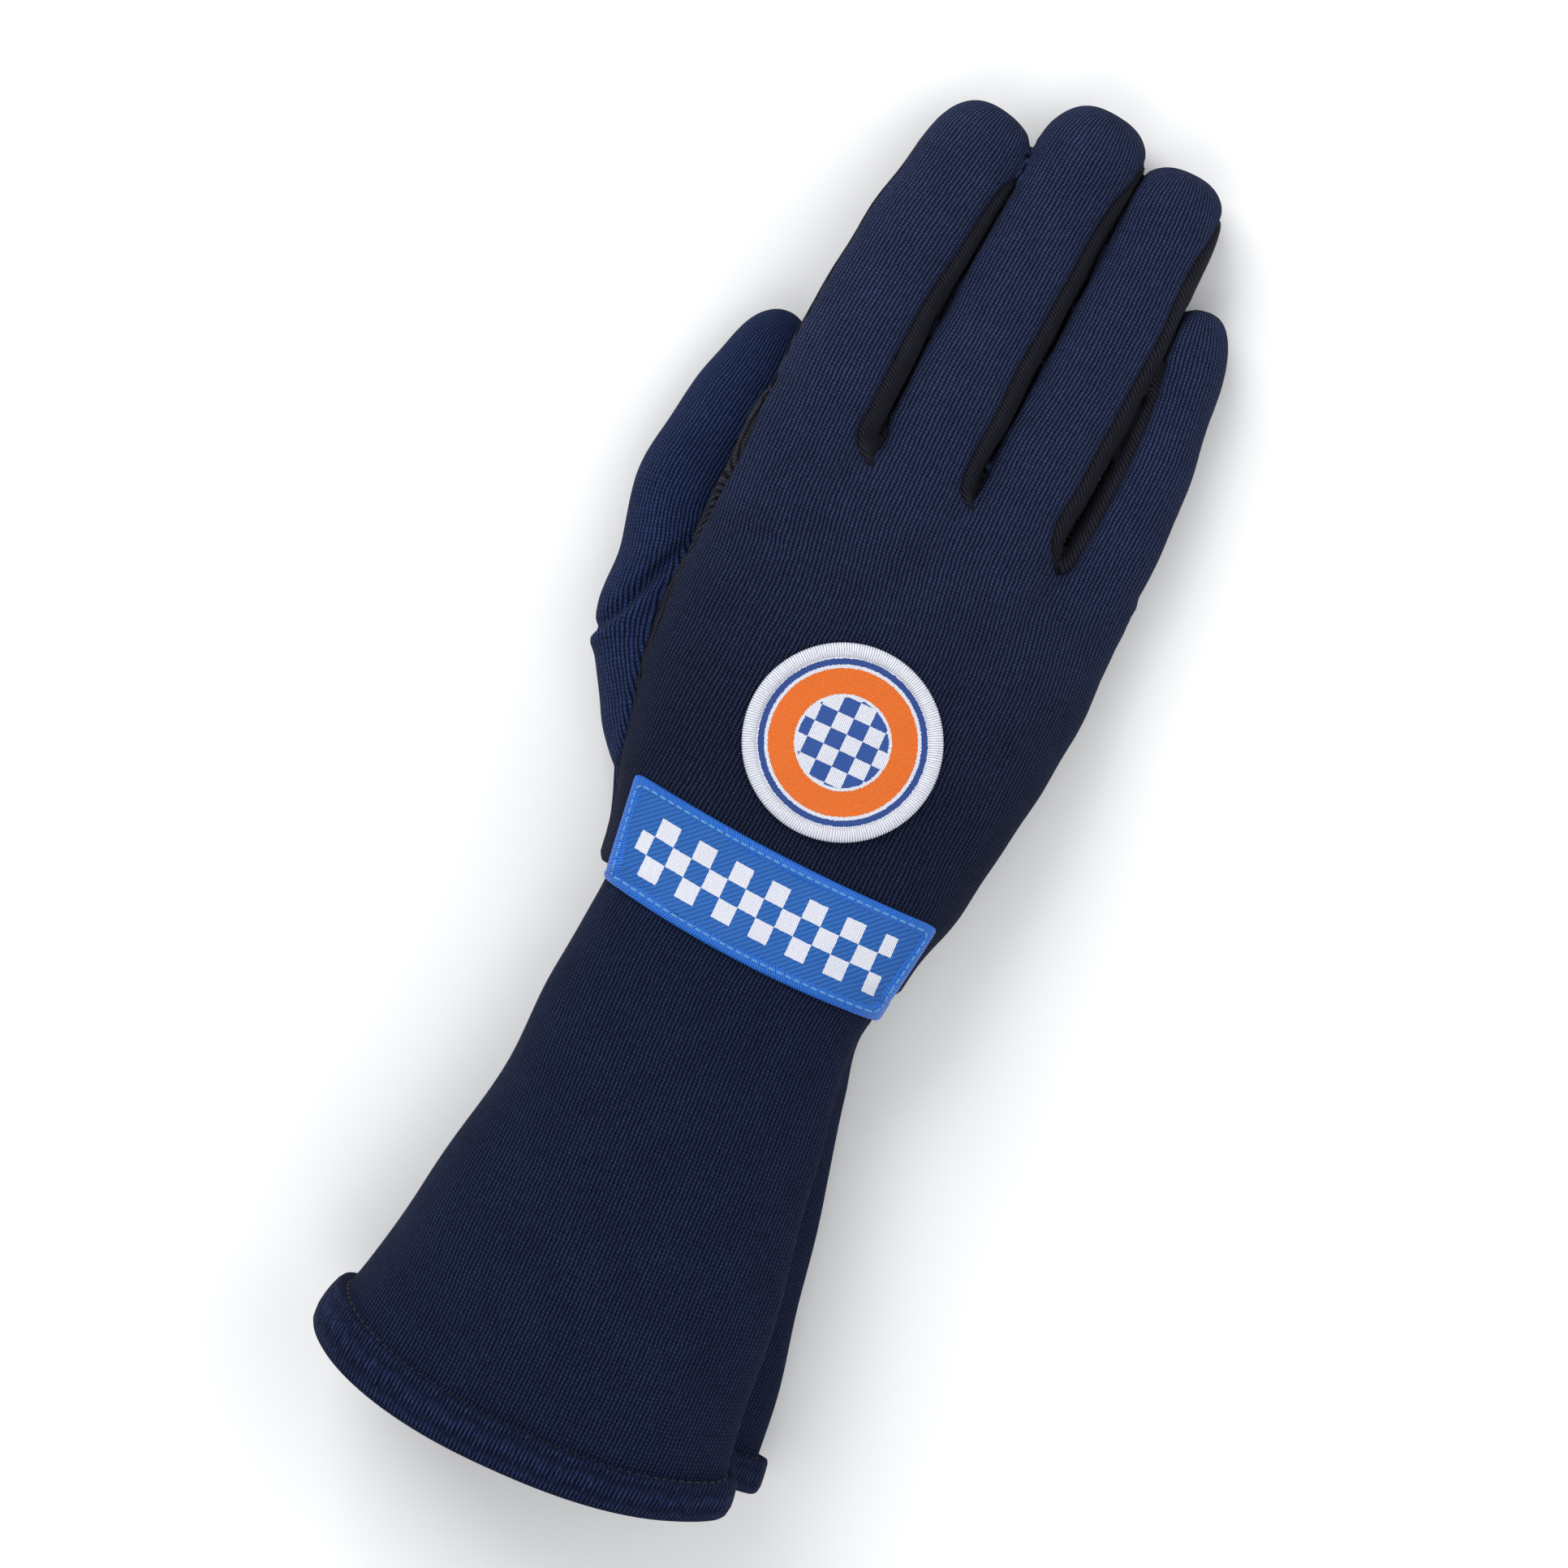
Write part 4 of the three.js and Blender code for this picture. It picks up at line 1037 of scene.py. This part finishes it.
def cuffPoints(along, angle, inset=0.0):
    # outer face of the cuff; angle in radians from the +X side towards the top
    s = cuffSection(along)
    across = np.sign(np.cos(angle)) * np.abs(np.cos(angle)) ** (2 / s["square"])
    rise = np.sign(np.sin(angle)) * np.abs(np.sin(angle)) ** (2 / s["square"])
    push = foldPush(angle) * s["fold"] * cuffSpec["foldDepth"]
    x = s["x"] + (s["halfWidth"] - inset) * across + push
    z = s["z"] + (s["halfDepth"] - inset) * rise
    y = hand["seamY"] - along * cuffSpec["length"] - s["lean"] * (slantHeight(z) - cuffSpec["mouthTop"] / 2)
    return np.stack([x, y, z], -1)


def evenAngles(count):
    # angles that are about evenly far apart along the mouth
    fine = np.linspace(-np.pi / 2, 1.5 * np.pi, 2001)
    ring = cuffPoints(np.full(2001, 0.9), fine)
    length = np.concatenate([[0], np.cumsum(np.linalg.norm(np.diff(ring, axis=0), axis=1))])
    return np.interp(np.linspace(0, length[-1], count, endpoint=False), length, fine)


cuffLook = {
    "wall": 1.8, "swell": 0.7, "swellSize": 38, "pucker": 0.18, "puckers": 23,
    "grid": 1.25, "around": 310, "down": 125, "tuck": 1.0, "tuckWidth": 1.2,
}


def cuffGrid(rows, angles):
    along = np.repeat(rows, len(angles))
    angle = np.tile(angles, len(rows))
    points = cuffPoints(along, angle)
    ahead = cuffPoints(along + 0.002, angle) - cuffPoints(along - 0.002, angle)
    round_ = cuffPoints(along, angle + 0.004) - cuffPoints(along, angle - 0.004)
    return points, unit(np.cross(ahead, round_)), along, angle


def cuffWaves(points, along, angle):
    lift = waves(points, cuffLook["swellSize"], cuffLook["swell"], 11) * smooth(0.02, 0.3, along)
    pucker = np.sin(angle * cuffLook["puckers"] + np.sin(angle * 3) * 2)
    return lift + cuffLook["pucker"] * pucker * np.exp(-(along / 0.07) ** 2)


def gridFaces(rows, columns, closed=True):
    base = np.arange((rows - 1) * columns).reshape(rows - 1, columns)
    ahead = np.roll(base, -1, axis=1)
    quads = np.stack([base, ahead, ahead + columns, base + columns], -1)
    if not closed:
        quads = quads[:, :-1]
    return quads.reshape(-1, 4)


def loopFaces(rows, columns):
    # a closed tube whose last row joins the first
    faces = gridFaces(rows, columns)
    lap = gridFaces(2, columns)
    lap = np.where(lap < columns, lap + (rows - 1) * columns, lap - columns)
    return np.concatenate([faces, lap])


def gridCloth(points, rows, columns, along):
    # across the cloth from the middle of the back; the last column joins the first without a jump
    ring = points.reshape(rows, columns, 3)
    step = np.linalg.norm(np.roll(ring, -1, axis=1) - ring, axis=2)
    length = np.cumsum(np.concatenate([np.zeros((rows, 1)), step], axis=1), axis=1)
    length -= length[:, [columns // 2]]
    across = np.stack([length[:-1, :-1], length[:-1, 1:], length[1:, 1:], length[1:, :-1]], -1)
    v = along.reshape(rows, columns)
    low, high = v[:-1], v[1:]
    down = np.stack([low, np.roll(low, -1, axis=1), np.roll(high, -1, axis=1), high], -1)
    return np.stack([across, down], -1).reshape(-1, 2)


def buildCuff():
    step = cuffLook["grid"] * 1
    angles = evenAngles(int(cuffLook["around"] / step))
    end = 1 - cuffSpec["hemDepth"] / cuffSpec["length"] + 0.01
    rows = np.linspace(0.003, end, int(cuffLook["down"] / step))
    points, normal, along, angle = cuffGrid(rows, angles)
    lift = cuffWaves(points, along, angle)
    away = (along - rows[0]) * cuffSpec["length"] / cuffLook["tuckWidth"]
    shown = points + normal * (lift - cuffLook["tuck"] * np.exp(-away ** 2))[:, None]
    shown[:, 2] = np.maximum(shown[:, 2], 0)
    faces = gridFaces(len(rows), len(angles))
    cloth = gridCloth(points, len(rows), len(angles), -along * cuffSpec["length"])
    piece = makeObject("cuff_cloth", shown, faces, None, [knitMaterial("cuff knit", knitColours["cuff"])],
                       "cuff", cornerCloth=cloth)
    giveWall(piece, cuffLook["wall"])


hemLook = {
    "along": [0, 0.01, 0.05, 0.12, 0.24, 0.4, 0.58, 0.74, 0.88, 0.97, 1.03, 1.03, 0.95, 0.75, 0.4, 0.1],
    "out": [-.5, -.24, -.02, .12, .22, .27, .29, .28, .21, .09, -.08, -.28, -.44, -.56, -.6, -.58],
    "flat": [(30, 20, 0.75), (-22, 18, 0.85), (178, 28, 0.75)],  # angle, spread, share of the swell that goes
    "skew": 1.2, "ruffle": 0.14, "ruffles": 61, "grid": 1.0, "rows": 40, "rowLength": 0.55,
    "stitchAt": 0.03, "stitchOut": -0.03, "stitchLength": 1.7, "stitchPitch": 2.3, "stitchRadius": 0.36,
    "stitchesAround": 300, "thread": rgb(0.012, 0.014, 0.02),
}


def hemFlat(angle):
    # the band lies flatter over the fold and at the thumb's side
    left = np.ones(len(angle))
    for middle, spread, share in hemLook["flat"]:
        away = (np.degrees(angle) - middle + 180) % 360 - 180
        left *= 1 - share * np.exp(-(away / spread) ** 2)
    return left


def buildHem():
    step = hemLook["grid"] * 1
    angles = evenAngles(int(cuffLook["around"] / step))
    start = 1 - cuffSpec["hemDepth"] / cuffSpec["length"]
    numbers = np.arange(len(hemLook["along"]))
    fine = np.linspace(0, numbers[-1], hemLook["rows"])
    across = np.interp(fine, numbers, hemLook["along"])
    out = np.interp(fine, numbers, hemLook["out"]) * cuffSpec["hemWall"]
    rows = start + across * (1 - start)
    points, normal, along, angle = cuffGrid(rows, angles)
    round_ = np.repeat(np.sin(np.pi * np.clip(across, 0, 1)), len(angles))
    ruffle = hemLook["ruffle"] * np.sin(angle * hemLook["ruffles"] + np.sin(angle * 7) * 2) * round_
    swollen = np.repeat(out, len(angles))
    swollen = np.where(swollen > 0, swollen * hemFlat(angle), swollen)
    lift = cuffWaves(points, along, angle) + swollen + ruffle
    shown = points + normal * lift[:, None]
    reach = np.repeat(np.clip(across, 0, 1) ** 2, len(angles))
    shown[:, 1] += hemLook["skew"] * np.cos(angle) * reach  # the rim hangs lower on the thumb's side
    shown[:, 2] = np.maximum(shown[:, 2], 0)
    faces = loopFaces(len(rows), len(angles))
    cloth = gridCloth(points, len(rows), len(angles), -np.repeat(fine * hemLook["rowLength"], len(angles)))
    cloth = np.concatenate([cloth, cloth[:len(angles) * 4]])
    knit = knitMaterial("hem knit", knitColours["hem"])
    thread = threadMaterial("dark stitch", hemLook["thread"])
    makeStitched("cuff_hem_cloth", (shown, faces, cloth), hemStitches(), [knit, thread], "cuff_hem")


def threadMaterial(name, colour, roughness=0.6):
    graph = Graph(name, roughness=roughness, sheen=0.1, specular=0.35)
    u, v = graph.cloth()
    place = graph.point(u, v)
    twist = (u * 2.2 + v * 0.7).fract()
    height = 1 - (twist * 2 - 1) ** 2
    fibre = graph.noise(place, 2.0)
    tone = graph.tint(colour, (0.72 + height * 0.3) * (0.8 + fibre * 0.4))
    return graph.finish(tone, height, 0.06)


def capsules(starts, ends, ups, radius, flat=0.7, sides=6):
    # short threads from start to end, lying on a surface whose normal is up
    ahead = ends - starts
    length = np.linalg.norm(ahead, axis=1, keepdims=True)
    ahead = ahead / length
    side = unit(np.cross(ahead, ups))
    up = np.cross(side, ahead)
    stations = np.array([0, 0.06, 0.22, 0.5, 0.78, 0.94, 1.0])
    girth = np.array([0.12, 0.6, 0.92, 1.0, 0.92, 0.6, 0.12])
    arch = np.array([-0.5, -0.15, 0.1, 0.25, 0.1, -0.15, -0.5])
    turn = np.arange(sides) / sides * 2 * np.pi
    rings = []
    for s, g, a in zip(stations, girth, arch):
        middle = starts + ahead * length * s + up * a * radius
        ring = middle[:, None] + radius * g * (np.cos(turn)[None, :, None] * side[:, None]
                                               + flat * np.sin(turn)[None, :, None] * up[:, None])
        rings.append(ring)
    verts = np.stack(rings, 1).reshape(-1, 3)
    one = gridFaces(len(stations), sides)
    perThread = len(stations) * sides
    faces = (one[None] + np.arange(len(starts))[:, None, None] * perThread).reshape(-1, 4)
    return verts, faces


def hemStitches():
    start = 1 - cuffSpec["hemDepth"] / cuffSpec["length"]
    at = start + hemLook["stitchAt"] * (1 - start)
    angles = evenAngles(int(hemLook["stitchesAround"] / hemLook["stitchPitch"]))
    half = hemLook["stitchLength"] / hemLook["stitchPitch"] / 2
    width = np.diff(np.append(angles, angles[0] + 2 * np.pi))
    ends = []
    for sign in (-1, 1):
        points, normal, along, angle = cuffGrid(np.array([at]), angles + sign * half * width)
        lift = cuffWaves(points, along, angle) + hemLook["stitchOut"] * cuffSpec["hemWall"]
        ends.append(points + normal * lift[:, None])
    keep = (ends[0][:, 2] > 0.6) & (ends[1][:, 2] > 0.6)
    return capsules(ends[0][keep], ends[1][keep], normal[keep], hemLook["stitchRadius"])


# The two sewn patches


def surfaceHeight(x, y):
    # height of the glove's back over a point in plan, and the way that it faces
    low = np.full(len(x), 8.0)
    high = np.full(len(x), 75.0)
    for _ in range(22):
        middle = (low + high) / 2
        inside = bodyField(np.stack([x, y, middle], -1)) < 0
        low = np.where(inside, middle, low)
        high = np.where(inside, high, middle)
    point = np.stack([x, y, (low + high) / 2], -1)
    return point, unit(slopeOf(bodyField, point, 0.3))


patchSpec = {
    "topWidth": 75.0, "footWidth": 68.0, "height": 25.0, "drop": 3.2, "sag": 1.6, "footSag": 2.24,
    "tuck": 2.2, "squareness": 44, "lift": 1.55, "foot": 0.25, "swell": 0.18, "swellSize": 14,
    "columns": 120, "rows": 44,
}


def patchPlan(s, t, inset):
    # s and t from -1 to 1 across and up the wrist patch
    halfTop = patchSpec["topWidth"] / 2 - inset
    halfFoot = patchSpec["footWidth"] / 2 - inset
    halfHeight = patchSpec["height"] / 2 - inset
    half = blend(halfFoot, halfTop, (t + 1) / 2)
    sag = blend(patchSpec["footSag"], patchSpec["sag"], (t + 1) / 2)
    return s * half, t * halfHeight - s * patchSpec["drop"] / 2 - sag * (1 - s * s)


def patchRing(inset, count):
    # points round the patch's outline with rounded corners
    turn = np.arange(count * 8) / (count * 8) * 2 * np.pi
    power = patchSpec["squareness"]
    norm = (np.abs(np.cos(turn)) ** power + np.abs(np.sin(turn)) ** power) ** (1 / power)
    x, y = patchPlan(np.cos(turn) / norm, np.sin(turn) / norm, inset)
    loop = np.stack([x, y], -1)
    closed = np.concatenate([loop, loop[:1]])
    length = np.concatenate([[0], np.cumsum(np.linalg.norm(np.diff(closed, axis=0), axis=1))])
    at = np.linspace(0, length[-1], count, endpoint=False)
    return np.stack([np.interp(at, length, closed[:, k]) for k in range(2)], -1), at


def layOn(plan, lift):
    point, normal = surfaceHeight(plan[:, 0], plan[:, 1])
    return point + normal * np.asarray(lift)[:, None], normal


motif = {
    "blue": rgb(0.011, 0.125, 0.46), "deepBlue": rgb(0.004, 0.05, 0.22), "white": rgb(0.78, 0.80, 0.89),
    "square": 4.6, "bandRows": 3, "bandReach": 30.5, "stitch": 0.42,
}


def satin(graph, along, across, pitch):
    # raised parallel threads with a slight wander
    place = graph.point(along, across)
    wander = graph.noise(place, 0.7) - 0.5
    thread = (along / pitch + wander * 0.8).fract()
    return 1 - (thread * 2 - 1) ** 2


def patchMaterial():
    graph = Graph("patch twill", roughness=0.62, sheen=0.08, specular=0.35)
    u, v = graph.cloth()
    place = graph.point(u, v)
    twill = ((v - u * 0.95) / 1.4 + (graph.noise(place, 0.8) - 0.5) * 0.25).fract()
    ridge = 1 - (twill * 2 - 1) ** 2
    base = graph.mix(ridge, motif["deepBlue"], motif["blue"])
    wander = graph.noise(place, 1.4) - 0.5
    curved = v + 1.9 * (1 - (u / 36) ** 2)
    leanX = u + wander * 0.35
    leanY = curved + u * 0.046 + wander * 0.3
    column = ((leanX + 400 * motif["square"]) / motif["square"]).floor()
    row = ((leanY + 100 * motif["square"]) / motif["square"] + 0.5).floor()
    checker = ((column + row) / 2).fract() > 0.25
    band = (abs(leanY) < motif["square"] * motif["bandRows"] / 2) * (abs(leanX) < motif["bandReach"])
    threads = satin(graph, leanX, leanY, motif["stitch"])
    thread = graph.tint(motif["white"], 0.68 + threads * 0.34)
    white = checker * band
    fibre = graph.noise(place, 2.6, 3.0, 0.7)
    tone = graph.tint(graph.mix(white, base, thread), 0.8 + fibre * 0.4)
    height = ridge * 0.35 * (1 - white) + white * (1.6 + threads * 0.5)
    return graph.finish(tone, height, 0.16)


def buildPatch():
    columns, rows = [patchSpec[name] // 1 for name in ("columns", "rows")]
    s, t = np.meshgrid(np.linspace(-1, 1, columns), np.linspace(-1, 1, rows))
    x, y = patchPlan(s.reshape(-1), t.reshape(-1), patchSpec["tuck"])
    plan = np.stack([x, y], -1)
    swell = waves(np.stack([x, y, 0 * x], -1), patchSpec["swellSize"], patchSpec["swell"], 5)
    top, _ = layOn(plan, patchSpec["lift"] + swell)
    foot, _ = layOn(plan, np.full(len(x), patchSpec["foot"]))
    faces = gridFaces(rows, columns, closed=False)
    rim = np.concatenate([np.arange(columns), np.arange(1, rows) * columns + columns - 1,
                          (rows - 1) * columns + np.arange(columns - 2, -1, -1),
                          np.arange(rows - 2, 0, -1) * columns])
    after = np.roll(rim, -1)
    wall = np.stack([rim + len(x), after + len(x), after, rim], -1)
    makeObject("wrist_patch_cloth", np.concatenate([top, foot]),
               np.concatenate([faces, faces[:, ::-1] + len(x), wall]), np.concatenate([plan, plan]),
               [patchMaterial()], "wrist_patch")


borderLook = {
    "width": 3.1, "height": 1.6, "base": 0.3, "sink": 0.15, "count": 420, "sections": 11, "around": 196.0,
    "colour": rgb(0.008, 0.155, 0.68), "stitchColour": rgb(0.11, 0.38, 0.82), "satin": 0.62,
    "stitchPitch": 2.25, "stitchLength": 1.7, "stitchLift": 1.92, "stitchRadius": 0.34, "stitchPlace": 0.58,
}


def borderMaterial(name, colour, pitch, relief):
    graph = Graph(name, roughness=0.48, sheen=0.05, specular=0.45)
    u, v = graph.cloth()
    threads = satin(graph, u, v, pitch)
    fibre = graph.noise(graph.point(u, v), 1.6, 3.0, 0.7)
    tone = graph.tint(colour, (0.42 + threads * 0.68) * (0.7 + fibre * 0.6))
    return graph.finish(tone, threads + fibre * 0.4, relief)


def borderRings(count):
    # a raised band round the patch's outline, with its foot sunk a little into the cloth
    arch = np.linspace(0, np.pi, borderLook["sections"])
    insets = borderLook["width"] / 2 * (1 - np.cos(arch))
    lifts = borderLook["base"] + borderLook["height"] * np.sin(arch) ** 0.6
    insets = np.append(insets, [borderLook["width"], 0.0])
    lifts = np.append(lifts, [borderLook["base"] - borderLook["sink"]] * 2)
    rings = [layOn(patchRing(inset, count)[0], np.full(count, lift))[0] for inset, lift in zip(insets, lifts)]
    return np.concatenate(rings), len(rings)


def loopCloth(rows, columns, total, width):
    # along the band and across it, so that the last step doesn't jump back to zero
    along = np.arange(columns + 1) / columns * total
    across = np.arange(rows + 1) / rows * width * 2
    u = np.stack([along[:-1], along[1:], along[1:], along[:-1]], -1)
    u = np.tile(u[None], (rows, 1, 1))
    v = np.stack([across[:-1], across[:-1], across[1:], across[1:]], -1)
    v = np.tile(v[:, None], (1, columns, 1))
    return np.stack([u, v], -1).reshape(-1, 2)


def buildBorder():
    count = borderLook["count"]
    verts, rows = borderRings(count)
    faces = loopFaces(rows, count)[:, ::-1]
    cloth = loopCloth(rows, count, borderLook["around"], borderLook["width"])
    cloth = cloth.reshape(-1, 4, 2)[:, ::-1].reshape(-1, 2)
    number = int(borderLook["around"] / borderLook["stitchPitch"])
    parts = 12  # steps of the outline to a stitch
    plan, _ = patchRing(borderLook["width"] * borderLook["stitchPlace"], number * parts)
    half = int(round(parts / 2 * borderLook["stitchLength"] / borderLook["stitchPitch"]))
    centre = np.arange(number) * parts
    lift = np.full(number, borderLook["stitchLift"])
    starts, normals = layOn(plan[(centre - half) % len(plan)], lift)
    ends, _ = layOn(plan[(centre + half) % len(plan)], lift)
    makeStitched("wrist_patch_border_thread", (verts, faces, cloth),
                 capsules(starts, ends, normals, borderLook["stitchRadius"]),
                 [borderMaterial("border satin", borderLook["colour"], borderLook["satin"], 0.16),
                  threadMaterial("border stitch", borderLook["stitchColour"], 0.45)],
                 "wrist_patch_border")


# radii of the badge's rings in millimetres, from the chequered disc outwards
badgeLook = {
    "disc": 10.2, "orangeFrom": 10.9, "orangeTo": 16.7, "lineFrom": 17.5, "lineTo": 18.9, "radius": 20.4,
    "orange": rgb(0.86, 0.16, 0.006), "line": rgb(0.010, 0.055, 0.27), "squareBlue": rgb(0.011, 0.075, 0.34),
    "square": 3.9, "stitch": 0.44, "lift": 1.55, "foot": 0.25, "swell": 0.12, "swellSize": 12, "hub": 0.4,
}


def badgeMaterial():
    graph = Graph("badge embroidery", roughness=0.5, sheen=0.06, specular=0.4)
    u, v = graph.cloth()
    place = graph.point(u, v)
    wander = graph.noise(place, 2.4) - 0.5
    radius = (u * u + v * v) ** 0.5 + wander * 0.7
    orange = (radius < badgeLook["orangeTo"]) * (radius > badgeLook["orangeFrom"])
    line = (radius < badgeLook["lineTo"]) * (radius > badgeLook["lineFrom"])
    column = ((u + wander * 0.3) / badgeLook["square"] + 100).floor()
    row = ((v + wander * 0.3) / badgeLook["square"] + 100.5).floor()
    checker = ((column + row) / 2).fract() > 0.25
    disc = (radius < badgeLook["disc"]) * checker
    across = satin(graph, v, u, badgeLook["stitch"])
    upright = satin(graph, u, v, badgeLook["stitch"])
    threads = orange * across + (1 - orange) * upright
    tone = graph.mix(orange, motif["white"], badgeLook["orange"])
    tone = graph.mix(line, tone, badgeLook["line"])
    tone = graph.mix(disc, tone, badgeLook["squareBlue"])
    fibre = graph.noise(place, 2.2, 3.0, 0.7)
    knots = graph.noise(place, 1.7, 2.0, 0.6)
    tone = graph.tint(tone, (0.6 + threads * 0.4) * (0.66 + fibre * 0.36 + knots * 0.34))
    height = threads * 0.5 + fibre * 0.4 + knots * 0.9 + orange * 0.6 + disc * 0.4
    return graph.finish(tone, height, 0.14)


def badgePlan(radius, angle):
    return np.stack([badgeSpec["x"] + radius * np.cos(angle), badgeSpec["y"] + radius * np.sin(angle)], -1)


def buildBadge():
    rings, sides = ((36, 140))
    radius = np.repeat(np.linspace(badgeLook["hub"], badgeLook["radius"], rings), sides)
    angle = np.tile(np.arange(sides) / sides * 2 * np.pi, rings)
    plan = badgePlan(radius, angle)
    swell = waves(np.column_stack([plan, 0 * radius]), badgeLook["swellSize"], badgeLook["swell"], 9)
    top, _ = layOn(plan, badgeLook["lift"] + swell)
    centre, _ = layOn(badgePlan(np.zeros(1), np.zeros(1)), [badgeLook["lift"]])
    foot, _ = layOn(plan[-sides:], np.full(sides, badgeLook["foot"]))
    faces = gridFaces(rings, sides)[:, ::-1]
    last = (rings - 1) * sides + np.arange(sides)
    below = rings * sides + 1 + np.arange(sides)
    wall = np.stack([last, np.roll(last, -1), np.roll(below, -1), below], -1)[:, ::-1]
    hub = np.full(sides, rings * sides)
    start = np.arange(sides)
    cap = np.stack([hub, start, np.roll(start, -1)], -1)
    verts = np.concatenate([top, centre, foot])
    middle = np.array([[badgeSpec["x"], badgeSpec["y"]]])
    cloth = np.concatenate([plan, middle, plan[-sides:]]) - middle
    allFaces = np.array([tuple(face) for part in (faces, wall, cap) for face in part.tolist()], dtype=object)
    makeObject("badge_cloth", verts, allFaces, cloth, [badgeMaterial()], "badge")


edgeLook = {
    "width": 3.5, "height": 2.0, "base": 0.3, "stitches": 236, "slant": 0.55, "relief": 0.17,
    "around": 132.0, "sections": 13, "colour": rgb(0.76, 0.78, 0.86),
}


def buildBadgeEdge():
    perStitch = 4
    count = edgeLook["stitches"] * perStitch
    turn = np.arange(edgeLook["sections"]) / edgeLook["sections"] * 2 * np.pi
    angle = np.arange(count) / count * 2 * np.pi
    verts = []
    for t in turn:
        phase = angle * edgeLook["stitches"] + t * edgeLook["slant"]
        bulge = np.abs(np.sin(phase / 2)) * edgeLook["relief"]
        reach = edgeLook["width"] / 2 + bulge - edgeLook["relief"]
        radius = badgeSpec["diameter"] / 2 - edgeLook["width"] / 2 + reach * np.cos(t)
        lift = edgeLook["base"] + edgeLook["height"] / 2 * (1 + np.sin(t)) + bulge * np.sin(t)
        point, _ = layOn(badgePlan(radius, angle), lift)
        verts.append(point)
    faces = loopFaces(len(turn), count)
    cloth = loopCloth(len(turn), count, edgeLook["around"], edgeLook["width"])
    pitch = edgeLook["around"] / edgeLook["stitches"]
    makeObject("badge_edge_thread", np.concatenate(verts), faces, None,
               [borderMaterial("edge thread", edgeLook["colour"], pitch, 0.08)],
               "badge_edge", cornerCloth=cloth)


# Floor and light


lightSpec = {
    "sky": rgb(0.97, 0.98, 1.0), "skyStrength": 0.6, "floor": rgb(0.95, 0.955, 0.96),
    "floorReach": 4.0, "floorDrop": 0.0004,
    "lamps": [
        {"at": (-1.1, 0.9, 1.4), "size": 1.2, "power": 21},
        {"at": (1.0, 0.3, 1.6), "size": 1.2, "power": 6},
        {"at": (0.1, -1.1, 1.6), "size": 1.2, "power": 6},
    ],
}


def buildStage():
    graph = Graph("floor", roughness=0.85, specular=0.2)
    graph.fill(graph.surface, {"Base Color": lightSpec["floor"]})
    mesh = bpy.data.meshes.new("floor")
    reach = lightSpec["floorReach"]
    corners = [(-reach, -reach), (reach, -reach), (reach, reach), (-reach, reach)]
    mesh.from_pydata([(x, y, -lightSpec["floorDrop"]) for x, y in corners], [], [(0, 1, 2, 3)])
    mesh.materials.append(graph.material)
    floor = bpy.data.objects.new("floor", mesh)
    bpy.context.scene.collection.objects.link(floor)
    world = bpy.data.worlds.new("world")
    world.use_nodes = True
    background = world.node_tree.nodes["Background"]
    background.inputs[0].default_value = lightSpec["sky"]
    background.inputs[1].default_value = lightSpec["skyStrength"]
    bpy.context.scene.world = world
    bpy.context.scene.view_settings.view_transform = "Standard"
    for k, lamp in enumerate(lightSpec["lamps"]):
        data = bpy.data.lights.new("lamp" + str(k), "AREA")
        data.energy = lamp["power"]
        data.size = lamp["size"]
        obj = bpy.data.objects.new("lamp" + str(k), data)
        obj.location = lamp["at"]
        obj.rotation_euler = (-Vector(lamp["at"])).to_track_quat("-Z", "Y").to_euler()
        bpy.context.scene.collection.objects.link(obj)


buildStage()
for build in (buildHand, buildCuff, buildHem, buildPatch, buildBorder, buildBadge, buildBadgeEdge):
    build()
